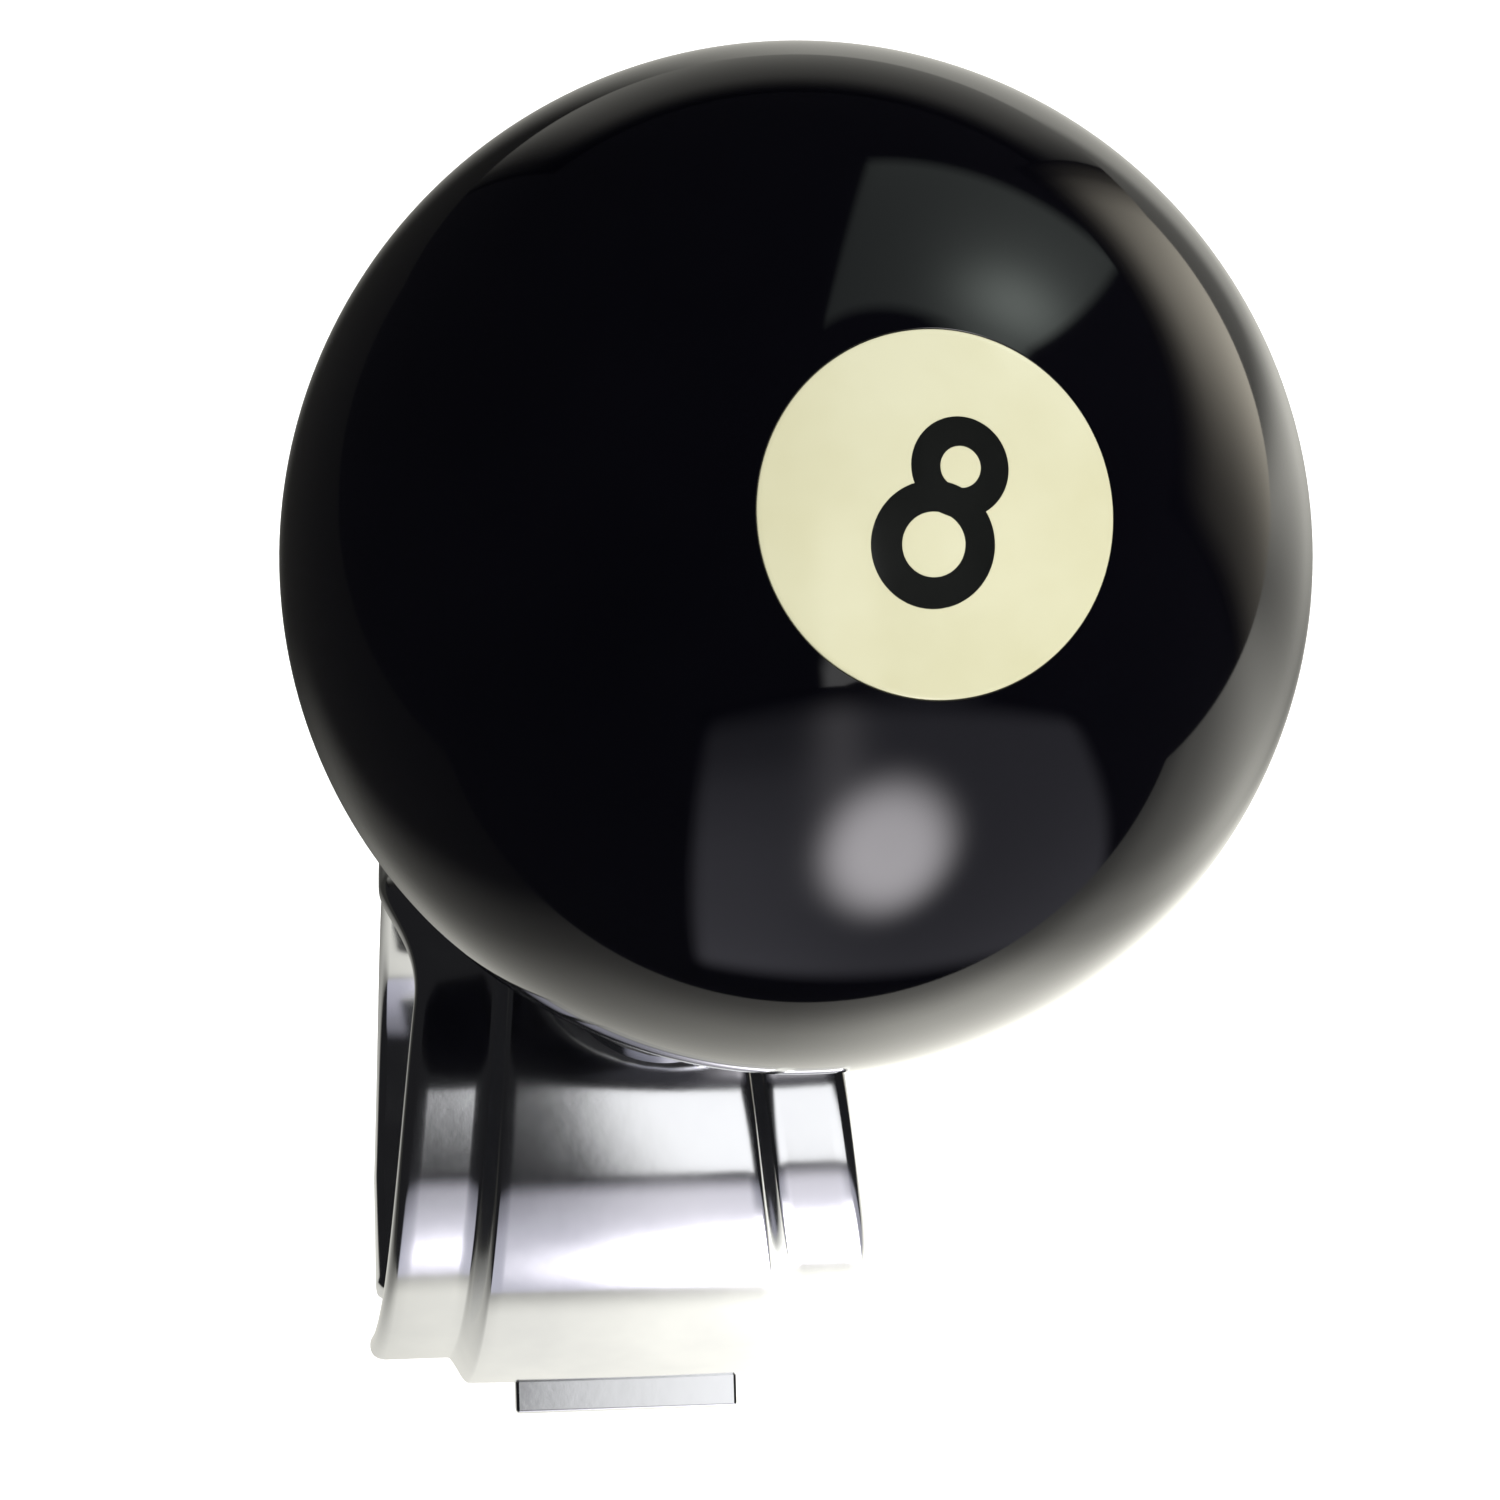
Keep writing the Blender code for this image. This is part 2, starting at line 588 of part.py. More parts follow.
def build_ball(resin, ivory, ink):
    """Ball bored from below, with the disc and the numeral let into its surface."""
    steps = 25
    start = math.asin(BALL_RECESS_RADIUS / BALL_RADIUS)
    shell = []
    for k in range(steps + 1):
        lean = start + (math.pi - start) * k / steps
        radius = 0.0 if k == steps else BALL_RADIUS * math.sin(lean)
        shell.append((radius, -BALL_RADIUS * math.cos(lean)))
    floor = BALL_RECESS_FLOOR - BALL_HEIGHT
    top = BALL_BORE_TOP - BALL_HEIGHT
    shell += [(0.0, top), (BALL_BORE_RADIUS, top), (BALL_BORE_RADIUS, floor),
              (BALL_RECESS_RADIUS, floor)]
    place = (0.0, 0.0, BALL_HEIGHT)
    body = on_knob_axis("ball_body", lathe(shell, 56), resin, place)
    turn = ball_frame()
    pocket = on_knob_axis("cut_disc_pocket", prism(circle((0.0, 0.0), DISC_POCKET_RADIUS, 48),
                                                   DISC_POCKET_FLOOR, 32.0), resin, place, turn)
    cut_or_join(body, pocket, "DIFFERENCE")

    rings = 5
    dome = [(0.0, DISC_FLOOR), (DISC_RADIUS, DISC_FLOOR)]
    for k in range(rings, -1, -1):
        radius = DISC_RADIUS * k / rings
        dome.append((radius, math.sqrt(BALL_RADIUS ** 2 - radius ** 2)))
    disc = on_knob_axis("number_disc", lathe(dome, 48), ivory, place, turn)
    inset = on_knob_axis("cut_numeral", domed_prism(numeral_loops(NUMERAL_GAP),
                                                    NUMERAL_POCKET_FLOOR, 30.0), ivory, place, turn)
    cut_or_join(disc, inset, "DIFFERENCE")
    on_knob_axis("numeral_eight", domed_prism(numeral_loops(0.0), NUMERAL_FLOOR, None), ink,
                 place, turn)


def build_all():
    """Every piece of the knob."""
    clear_scene()
    chrome = material("chrome", (0.80, 0.81, 0.83), 0.08, 1.0)
    steel = material("zinc_steel", (0.62, 0.62, 0.60), 0.32, 1.0)
    bright = material("bearing_steel", (0.70, 0.70, 0.71), 0.16, 1.0)
    material("brass", (0.72, 0.52, 0.22), 0.28, 1.0)
    rubber = material("rubber", (0.030, 0.032, 0.030), 0.75)
    nylon = material("nylon", (0.035, 0.035, 0.037), 0.50)
    resin = material("black_resin", (0.0045, 0.0045, 0.0060), 0.06, 0.0, 0.6)
    ivory = material("ivory_resin", (0.80, 0.76, 0.60), 0.12, 0.0, 0.4)
    ink = material("numeral_resin", (0.012, 0.013, 0.013), 0.14, 0.0, 0.4)

    build_saddle(chrome)
    build_jaw(chrome)
    build_liners(rubber)
    build_hinge(steel)
    build_clamp_screw(steel)
    build_spindle(steel, nylon)
    build_bearing(bright, steel)
    build_hub(chrome, steel)
    build_ball(resin, ivory, ink)


build_all()
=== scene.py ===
"""Steering wheel spinner knob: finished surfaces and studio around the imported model.

Metres in the file, millimetres in the constants. The rim of the wheel runs along X through the
origin, the flared front of the clamp faces -Y. The knob turns about an axis through the origin
that leans from +Z towards +X, and heights along it are measured from the origin. Angles around
the rim are measured from +Z over the front (-Y) and on underneath.
"""

import json
import math

import bmesh
import bpy
from mathutils import Matrix, Vector


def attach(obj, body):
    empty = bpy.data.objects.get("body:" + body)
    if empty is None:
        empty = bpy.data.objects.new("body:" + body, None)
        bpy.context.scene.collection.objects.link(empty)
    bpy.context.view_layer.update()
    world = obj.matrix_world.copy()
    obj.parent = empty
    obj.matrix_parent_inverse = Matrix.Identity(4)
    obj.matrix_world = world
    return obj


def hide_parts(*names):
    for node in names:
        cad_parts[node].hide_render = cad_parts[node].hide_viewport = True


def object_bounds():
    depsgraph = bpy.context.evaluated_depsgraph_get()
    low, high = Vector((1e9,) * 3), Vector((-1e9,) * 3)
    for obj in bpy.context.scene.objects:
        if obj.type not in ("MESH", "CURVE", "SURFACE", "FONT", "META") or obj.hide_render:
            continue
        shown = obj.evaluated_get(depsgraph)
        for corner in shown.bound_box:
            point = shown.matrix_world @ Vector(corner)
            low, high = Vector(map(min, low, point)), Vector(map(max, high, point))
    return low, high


MM = 0.001

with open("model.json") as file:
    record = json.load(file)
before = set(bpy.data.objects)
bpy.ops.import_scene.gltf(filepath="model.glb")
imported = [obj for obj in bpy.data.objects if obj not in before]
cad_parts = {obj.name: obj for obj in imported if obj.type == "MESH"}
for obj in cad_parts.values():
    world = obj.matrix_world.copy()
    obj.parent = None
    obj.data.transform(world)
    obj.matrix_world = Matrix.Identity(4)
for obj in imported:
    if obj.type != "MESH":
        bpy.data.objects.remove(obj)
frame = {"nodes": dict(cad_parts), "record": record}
cad_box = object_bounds()

# ball and its inlay
BALL_RADIUS = 28.575
KNOB_LEAN = 8.4
BALL_HEIGHT = 61.8
BALL_RECESS_RADIUS = 10.6
BALL_RECESS_FLOOR = 36.4
BALL_BORE_RADIUS = 9.2
BALL_BORE_TOP = 52.6
DISC_RADIUS = 9.44
DISC_POCKET_RADIUS = 9.47
DISC_FLOOR = 25.60
DISC_POCKET_FLOOR = 25.50
DISC_LEAN = 29.7
DISC_BEARING = -8.8
NUMERAL_TURN = 25.0
NUMERAL_FLOOR = 27.50
NUMERAL_GAP = 0.02
LOOP_SPACING = 4.21
TOP_LOOP = (2.58, 1.09)
BOTTOM_LOOP = (3.23, 1.67)
LOOP_CENTRE_OFFSET = 0.32

# clamp section
INNER_RADIUS = 14.7
WING_RADIUS = 16.5
BAND_RADIUS = 18.3
FRONT_END = 113.0
BACK_END = -64.0
LINER_RADII = (13.35, 14.40)
PAD_RADIUS = 7.0
PAD_HEIGHTS = (15.7, 19.6)
REAR_HALF = 15.1
STUD_HOLE = 3.2

# hinge at the bottom of the front
PIN_ANGLE = 128.0
PIN_DISTANCE = 16.0
PIN_RADIUS = 1.1
LUG_INNER = 7.55
LUG_THICKNESS = 1.8
LUG_RADIUS = 2.2
KNUCKLE_RADIUS = 2.5
KNUCKLE_HALF = 7.25
LIP_ANGLE = 123.0
LIP_REACH = 4.5
LIP_THICKNESS = 2.0

# clamp bolt at the back
BOLT_TILT = 36.0
BOLT_REACH = 39.6
UPPER_EAR = (-3.4, -0.6)
LOWER_EAR = (-8.4, -5.6)
EAR_HALF = 6.4
BOLT_SHANK = 2.4
BOLT_TIP = 4.2
BOLT_HEAD = (-15.9, -10.9)
BOLT_HEAD_RADIUS = 4.25
THREAD_PITCH = 0.8
THREAD_DEPTH = 0.3
NUT_HEIGHTS = (-0.45, 3.55)
NUT_ACROSS_FLATS = 8.0
FLAT_WASHER = (-9.5, -8.5)
SPRING_WASHER = (-10.8, -9.6)

# knob collar
HUB_BOTTOM = 20.9
HUB_FLANGE_TOP = 36.1
HUB_TOP = 47.0


def around(angle, radius):
    """The (y, z) point at an angle around the rim, measured from the top over the front."""
    turn = math.radians(angle)
    return -radius * math.sin(turn), radius * math.cos(turn)


PIN_Y, PIN_Z = around(PIN_ANGLE, PIN_DISTANCE)
EAR_Y = PIN_Y + BOLT_REACH * math.cos(math.radians(BOLT_TILT))
EAR_Z = PIN_Z + BOLT_REACH * math.sin(math.radians(BOLT_TILT))
LEANED = Matrix.Rotation(math.radians(KNOB_LEAN), 4, "Y")
AT_EAR = (Matrix.Translation(Vector((0.0, EAR_Y, EAR_Z)) * MM)
          @ Matrix.Rotation(math.radians(BOLT_TILT), 4, "X"))
AT_PIN = (Matrix.Translation(Vector((0.0, PIN_Y, PIN_Z)) * MM)
          @ Matrix.Rotation(math.radians(90.0), 4, "Y"))


# ---------------------------------------------------------------- finishes

def finish(name, dark, light, rough, metallic=0.0, grain=400.0, stretch=(1.0, 1.0, 1.0),
           bump=0.02, coat=0.0, ior=1.5, wear=0.0):
    """A Principled finish whose colour, gloss and relief vary with two scales of noise."""
    made = bpy.data.materials.new(name)
    made.use_nodes = True
    nodes, links = made.node_tree.nodes, made.node_tree.links
    shader = nodes["Principled BSDF"]
    shader.inputs["Metallic"].default_value = metallic
    shader.inputs["Coat Weight"].default_value = coat
    shader.inputs["IOR"].default_value = ior
    place = nodes.new("ShaderNodeTexCoord")
    scale = nodes.new("ShaderNodeMapping")
    scale.inputs["Scale"].default_value = stretch
    links.new(place.outputs["Object"], scale.inputs["Vector"])

    def noise(size, detail, roughness=0.55):
        made_noise = nodes.new("ShaderNodeTexNoise")
        made_noise.inputs["Scale"].default_value = size
        made_noise.inputs["Detail"].default_value = detail
        made_noise.inputs["Roughness"].default_value = roughness
        links.new(scale.outputs["Vector"], made_noise.inputs["Vector"])
        return made_noise.outputs["Fac"]

    clouds = noise(grain * 0.12, 4.0)
    fine = noise(grain, 6.0)
    tones = nodes.new("ShaderNodeValToRGB")
    tones.color_ramp.elements[0].position = 0.32
    tones.color_ramp.elements[0].color = (*dark, 1.0)
    tones.color_ramp.elements[1].position = 0.68
    tones.color_ramp.elements[1].color = (*light, 1.0)
    links.new(clouds, tones.inputs["Fac"])
    colour = tones.outputs["Color"]
    if wear > 0.0:
        edges = nodes.new("ShaderNodeNewGeometry")
        worn = nodes.new("ShaderNodeMapRange")
        worn.inputs["From Min"].default_value = 0.50
        worn.inputs["From Max"].default_value = 0.58
        worn.inputs["To Max"].default_value = wear
        links.new(edges.outputs["Pointiness"], worn.inputs["Value"])
        blend = nodes.new("ShaderNodeMix")
        blend.data_type = "RGBA"
        blend.inputs["B"].default_value = (*[min(1.0, c * 1.5 + 0.05) for c in light], 1.0)
        links.new(worn.outputs["Result"], blend.inputs["Factor"])
        links.new(colour, blend.inputs["A"])
        colour = blend.outputs["Result"]
    links.new(colour, shader.inputs["Base Color"])
    gloss = nodes.new("ShaderNodeMapRange")
    gloss.inputs["From Min"].default_value = 0.3
    gloss.inputs["From Max"].default_value = 0.7
    gloss.inputs["To Min"].default_value = rough[0]
    gloss.inputs["To Max"].default_value = rough[1]
    links.new(clouds, gloss.inputs["Value"])
    links.new(gloss.outputs["Result"], shader.inputs["Roughness"])
    if bump > 0.0:
        relief = nodes.new("ShaderNodeBump")
        relief.inputs["Strength"].default_value = bump
        relief.inputs["Distance"].default_value = 0.0002
        links.new(fine, relief.inputs["Height"])
        links.new(relief.outputs["Normal"], shader.inputs["Normal"])
    return made


RESIN = finish("polished_black_resin", (0.0008, 0.0008, 0.0016), (0.0016, 0.0015, 0.0026),
               (0.035, 0.060), grain=260.0, bump=0.004, ior=1.52)
IVORY = finish("ivory_inlay", (0.505, 0.482, 0.300), (0.585, 0.572, 0.400), (0.10, 0.18),
               grain=520.0, bump=0.010, ior=1.50)
INK = finish("numeral_inlay_black", (0.0045, 0.0050, 0.0045), (0.0080, 0.0085, 0.0080),
             (0.08, 0.14), grain=700.0, bump=0.015, ior=1.52)
CHROME = finish("chrome_plate", (0.82, 0.83, 0.86), (0.93, 0.94, 0.96), (0.09, 0.15), 1.0,
                grain=900.0, bump=0.010)
COLLAR = finish("turned_chrome", (0.70, 0.71, 0.74), (0.84, 0.85, 0.88), (0.06, 0.12), 1.0,
                grain=700.0, stretch=(0.5, 0.5, 5.0), bump=0.040, wear=0.2)
ZINC = finish("zinc_plated_steel", (0.46, 0.45, 0.41), (0.66, 0.65, 0.61), (0.26, 0.42), 1.0,
              grain=1400.0, bump=0.12, wear=0.4)
BEARING = finish("ground_bearing_steel", (0.58, 0.58, 0.60), (0.72, 0.72, 0.73), (0.10, 0.20),
                 1.0, grain=1200.0, stretch=(0.5, 0.5, 4.0), bump=0.05)
BRASS = finish("turned_brass", (0.60, 0.42, 0.17), (0.74, 0.55, 0.25), (0.20, 0.34), 1.0,
               grain=900.0, stretch=(0.5, 0.5, 5.0), bump=0.08)
RUBBER = finish("moulded_rubber", (0.018, 0.020, 0.019), (0.040, 0.042, 0.040), (0.62, 0.82),
                grain=1600.0, bump=0.30, ior=1.45)
NYLON = finish("black_nylon", (0.022, 0.022, 0.024), (0.042, 0.042, 0.045), (0.42, 0.58),
               grain=1500.0, bump=0.15, ior=1.48)

FINISH_OF_SLOT = {"black_resin": RESIN, "ivory_resin": IVORY, "numeral_resin": INK,
                  "chrome": CHROME, "zinc_steel": ZINC, "bearing_steel": BEARING,
                  "brass": BRASS, "rubber": RUBBER, "nylon": NYLON}


def dress_frame():
    """Gives every carried-over CAD node the detailed finish of its slot."""
    for part in frame["record"]["subparts"]:
        mesh = frame["nodes"][part["node"]].data
        mesh.materials.clear()
        mesh.materials.append(FINISH_OF_SLOT[part["material_slot"]])


# ---------------------------------------------------------------- shape tools

def bare(name, points, faces, place=None):
    """A closed object from points in millimetres, its faces turned outwards."""
    mesh = bpy.data.meshes.new(name)
    mesh.from_pydata([Vector(p) * MM for p in points], [], faces)
    work = bmesh.new()
    work.from_mesh(mesh)
    bmesh.ops.remove_doubles(work, verts=work.verts, dist=1e-7)
    bmesh.ops.recalc_face_normals(work, faces=work.faces)
    if place is not None:
        bmesh.ops.transform(work, matrix=place, verts=work.verts)
    work.to_mesh(mesh)
    work.free()
    made = bpy.data.objects.new(name, mesh)
    bpy.context.scene.collection.objects.link(made)
    return made


def carve(body, cutter, operation="DIFFERENCE"):
    """Applies one exact Boolean and removes the cutter."""
    step = body.modifiers.new("carve", "BOOLEAN")
    step.operation = operation
    step.solver = "EXACT"
    step.object = cutter
    graph = bpy.context.evaluated_depsgraph_get()
    mesh = bpy.data.meshes.new_from_object(body.evaluated_get(graph))
    body.modifiers.clear()
    body.data = mesh
    bpy.data.objects.remove(cutter)
    return body


def dress(piece, paint, body, slot, *nodes, sharp=40.0, bevel=0.0):
    """Gives a piece its finish and its place in the frame."""
    piece.data.materials.clear()
    piece.data.materials.append(paint)
    piece.data.shade_smooth()
    piece.data.set_sharp_from_angle(angle=math.radians(sharp))
    if bevel > 0.0:
        soft = piece.modifiers.new("soft_edges", "BEVEL")
        soft.width = bevel * MM
        soft.segments = 3
        soft.limit_method = "ANGLE"
        soft.angle_limit = math.radians(35.0)
        soft.harden_normals = True
    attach(piece, body)
    if nodes:
        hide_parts(*nodes)
    return piece


def soften(outline, radius, steps=4):
    """A closed outline with each corner rounded by an arc-like curve."""
    made = []
    count = len(outline)
    for i in range(count):
        before, here, after = (Vector(outline[i - 1]), Vector(outline[i]),
                               Vector(outline[(i + 1) % count]))
        back, on = before - here, after - here
        if back.length < 1e-6 or on.length < 1e-6 or here.x < 1e-6:
            made.append(tuple(here))
            continue
        if back.angle(on) > math.radians(168.0):
            made.append(tuple(here))
            continue
        reach = min(radius, 0.42 * back.length, 0.42 * on.length)
        start, end = here + back.normalized() * reach, here + on.normalized() * reach
        for k in range(steps + 1):
            t = k / steps
            point = start * (1 - t) ** 2 + here * 2 * t * (1 - t) + end * t * t
            made.append(tuple(point))
    return made


def lathe(profile, segments, start=0.0, sweep=360.0, radius_of=None, lift_of=None):
    """Points and faces of a closed (radius, height) outline turned about Z."""
    full = sweep >= 360.0
    stations = segments if full else segments + 1
    points = []
    for i in range(stations):
        degrees = start + sweep * i / segments
        angle = math.radians(degrees)
        for r, z in profile:
            if radius_of is not None:
                r = radius_of(r, z, degrees)
            lift = lift_of(degrees) if lift_of is not None else 0.0
            points.append((r * math.cos(angle), r * math.sin(angle), z + lift))
    count = len(profile)
    faces = []
    for i in range(segments):
        a, b = i * count, ((i + 1) % stations) * count
        for j in range(count):
            k = (j + 1) % count
            on_axis = (profile[j][0] < 1e-9, profile[k][0] < 1e-9)
            if all(on_axis):
                continue
            ring = [a + j, b + j, b + k, a + k]
            if on_axis[0]:
                ring = [a + j, b + k, a + k]
            if on_axis[1]:
                ring = [a + j, b + j, a + k]
            faces.append(ring)
    if not full:
        faces.append(list(range(count)))
        faces.append([(stations - 1) * count + j for j in range(count)])
    return points, faces


def prism(outline, low, high, axis="Z"):
    """A flat outline pushed from one level to another along Z, or along X for (y, z) outlines."""
    count = len(outline)
    points = []
    for level in (low, high):
        for u, v in outline:
            points.append((u, v, level) if axis == "Z" else (level, u, v))
    faces = [list(range(count)), list(range(count, 2 * count))]
    for j in range(count):
        k = (j + 1) % count
        faces.append([j, k, count + k, count + j])
    return points, faces


def circle(centre, radius, steps, start=0.0, sweep=360.0):
    """Points along a circle, without a repeated last point when it closes."""
    last = steps if sweep >= 360.0 else steps + 1
    return [(centre[0] + radius * math.cos(math.radians(start + sweep * i / steps)),
             centre[1] + radius * math.sin(math.radians(start + sweep * i / steps)))
            for i in range(last)]


def hull(points):
    """Convex outline of flat points, in order."""
    ordered = sorted(set(points))

    def half(sequence):
        chain = []
        for p in sequence:
            while len(chain) > 1 and ((chain[-1][0] - chain[-2][0]) * (p[1] - chain[-2][1])
                                      - (chain[-1][1] - chain[-2][1]) * (p[0] - chain[-2][0])) <= 0:
                chain.pop()
            chain.append(p)
        return chain[:-1]

    return half(ordered) + half(ordered[::-1])


def ease(t):
    """Smooth step from 0 to 1."""
    t = max(0.0, min(1.0, t))
    return t * t * (3.0 - 2.0 * t)


# ---------------------------------------------------------------- ball

def ball_place():
    """Takes +Z to the middle of the inlaid disc, the numeral upright along +Y."""
    lean, bearing = math.radians(DISC_LEAN), math.radians(DISC_BEARING)
    out = Vector((-math.sin(lean) * math.sin(bearing), -math.sin(lean) * math.cos(bearing),
                  math.cos(lean)))
    east = Vector((0.0, 0.0, 1.0)).cross(out).normalized()
    north = out.cross(east)
    turn = math.radians(NUMERAL_TURN)
    up = north * math.cos(turn) + east * math.sin(turn)
    side = up.cross(out)
    return (LEANED @ Matrix.Translation((0.0, 0.0, BALL_HEIGHT * MM))
            @ Matrix((side, up, out)).transposed().to_4x4())


def dome_profile(radius, floor, proud, rings, lip):
    """Closed outline of a round inlay: flat below, on the ball's surface above."""
    sphere = BALL_RADIUS + proud
    outline = [(0.0, floor), (radius, floor)]
    edge = math.sqrt(sphere ** 2 - radius ** 2)
    outline += [(radius, edge - lip), (radius - 0.3 * lip, edge - 0.3 * lip)]
    for k in range(rings, -1, -1):
        r = (radius - lip) * k / rings
        outline.append((r, math.sqrt(sphere ** 2 - r ** 2)))
    return outline


def numeral_cutter(gap, low, high, place):
    """The numeral's outline pushed through the surface, its two eyes left open."""
    foot = Vector((0.0, -LOOP_SPACING / 2.0 + LOOP_CENTRE_OFFSET))
    head = Vector((0.0, LOOP_SPACING / 2.0 + LOOP_CENTRE_OFFSET))
    big, small = BOTTOM_LOOP[0] + gap, TOP_LOOP[0] + gap
    along = (LOOP_SPACING ** 2 + big ** 2 - small ** 2) / (2.0 * LOOP_SPACING)
    waist = math.degrees(math.acos(along / big))
    crown = math.degrees(math.acos((LOOP_SPACING - along) / small))
    outer = circle(foot, big, 72, 90.0 + waist, 360.0 - 2.0 * waist)
    outer += circle(head, small, 60, -90.0 + crown, 360.0 - 2.0 * crown)[1:-1]

    def eye(centre, radius, other, reach):
        ring = []
        for x, y in circle(centre, radius, 64):
            away = Vector((x, y)) - other
            if away.length < reach:
                x, y = other + away.normalized() * reach
            ring.append((x, y))
        return ring

    body = bare("numeral_form", *prism(outer, low, high), place)
    for loop in (eye(foot, BOTTOM_LOOP[1] - gap, head, small),
                 eye(head, TOP_LOOP[1] - gap, foot, big)):
        carve(body, bare("eye_form", *prism(loop, low - 1.0, high + 1.0), place))
    return body


def build_ball():
    """Polished ball with the disc and numeral let in flush."""
    place = ball_place()
    start = math.asin(DISC_POCKET_RADIUS / BALL_RADIUS)
    rim = math.cos(start) * BALL_RADIUS
    outline = [(0.0, DISC_POCKET_FLOOR), (DISC_POCKET_RADIUS, DISC_POCKET_FLOOR),
               (DISC_POCKET_RADIUS, rim - 0.04)]
    rings = 150
    for k in range(rings + 1):
        lean = start + 0.0014 + (math.pi - start - 0.0014) * k / rings
        outline.append((0.0 if k == rings else BALL_RADIUS * math.sin(lean),
                        BALL_RADIUS * math.cos(lean)))
    body = bare("ball_shell", *lathe(outline, 240), place)
    bore = [(0.0, 30.0), (BALL_RECESS_RADIUS, 30.0), (BALL_RECESS_RADIUS, BALL_RECESS_FLOOR),
            (BALL_BORE_RADIUS, BALL_RECESS_FLOOR), (BALL_BORE_RADIUS, BALL_BORE_TOP),
            (0.0, BALL_BORE_TOP)]
    carve(body, bare("bore_form", *lathe(bore, 128), LEANED))
    dress(body, RESIN, "knob", "black_resin", "ball_body", sharp=30.0)

    disc = bare("inlaid_disc", *lathe(dome_profile(DISC_RADIUS, DISC_FLOOR, 0.0, 44, 0.05), 200),
                place)
    carve(disc, numeral_cutter(NUMERAL_GAP, NUMERAL_FLOOR - 0.1, 30.0, place))
    dress(disc, IVORY, "knob", "ivory_resin", "number_disc", sharp=30.0)

    numeral = bare("inlaid_eight", *lathe(dome_profile(7.4, NUMERAL_FLOOR, 0.012, 60, 0.05), 180),
                   place)
    carve(numeral, numeral_cutter(0.0, NUMERAL_FLOOR - 1.0, 31.0, place), "INTERSECT")
    dress(numeral, INK, "knob", "numeral_resin", "numeral_eight", sharp=30.0)


def build_collar():
    """Turned chrome collar under the ball, with three fine grooves in its waist."""
    waist = [(8.95, 26.0)]
    for middle in (26.9, 28.0, 29.1):
        waist += [(8.95, middle - 0.28), (8.72, middle - 0.10), (8.72, middle + 0.10),
                  (8.95, middle + 0.28)]
    outline = ([(7.62, HUB_BOTTOM + 0.3), (7.92, HUB_BOTTOM), (8.6, HUB_BOTTOM),
                (8.9, HUB_BOTTOM + 0.3), (9.3, 22.2), (9.3, 22.8), (9.05, 23.6)] + waist
               + [(8.95, 30.0), (9.1, 32.4), (9.5, 33.8), (10.1, 34.9), (10.3, 35.4),
                  (10.3, HUB_FLANGE_TOP), (6.9, HUB_FLANGE_TOP), (6.9, HUB_TOP - 0.5),
                  (6.4, HUB_TOP), (5.8, HUB_TOP), (5.8, 27.2), (7.62, 27.2), (7.62, 22.05),
                  (8.15, 22.05), (8.15, 21.25), (7.62, 21.25)])
    body = bare("collar_shell", *lathe(soften(outline, 0.22), 180), LEANED)
    dress(body, COLLAR, "knob", "chrome", "hub_collar", sharp=50.0)


# ---------------------------------------------------------------- clamp

def saddle_widths(angle):
    """Half widths of the flared saddle: wing edge, foot and top of the raised band."""
    u = (angle - 60.0) / 60.0
    rear = ease((5.0 - angle) / 38.0)
    corner = 0.8 * max(0.0, (angle - 109.5) / 3.5)
    edge = (14.85 + 2.0 * u - corner) * (1.0 - rear) + REAR_HALF * rear
    foot = 9.75 + 2.0 * u + 0.25 * u * u
    return edge, foot, foot - 1.35


def jaw_widths(angle):
    """Half widths of the lower jaw: narrow at the hinge, as wide as the saddle elsewhere."""
    wide = 16.2 - 1.1 * max(0.0, (angle - 190.0) / 80.0)
    edge = 6.6 + (wide - 6.6) * ease((angle - 142.0) / 16.0)
    return edge, 5.6, 4.3


def half_section(widths, levels, soft, shrink, crown):
    """Half of a pressed section, from the middle of its top round the edge and back below."""
    edge, foot, top = widths
    inner, wing, band = levels
    thick = wing - inner
    wing, band, inner, edge = wing - shrink, band - shrink, inner + shrink, edge - shrink
    soft = max(soft - shrink, 0.02)
    half = []
    for k in range(13):
        half.append((top * k / 12, band - crown * (k / 12) ** 2))
    side = band - crown
    for k in range(1, 17):
        t = k / 16
        half.append((top + (foot - top) * t, side + (wing - side) * ease(t)))
    run = edge - soft
    for k in range(1, 7):
        half.append((foot + (run - foot) * k / 6, wing))
    for k in range(1, 7):
        turn = math.radians(90.0 * k / 6)
        half.append((run + soft * math.sin(turn), wing - soft + soft * math.cos(turn)))
    for k in range(7):
        turn = math.radians(90.0 * k / 6)
        half.append((run + soft * math.cos(turn), inner + soft - soft * math.sin(turn)))
    lift = levels[2] - levels[1]
    under_foot, under_top = foot - 0.6 * lift, top - 0.6 * lift
    for k in range(1, 5):
        half.append((run + (under_foot - run) * k / 4, inner))
    roof = levels[2] - thick + shrink - crown
    for k in range(1, 9):
        t = k / 8
        half.append((under_foot + (under_top - under_foot) * t, inner + (roof - inner) * ease(t)))
    for k in range(1, 7):
        half.append((under_top * (1 - k / 6), roof))
    return half


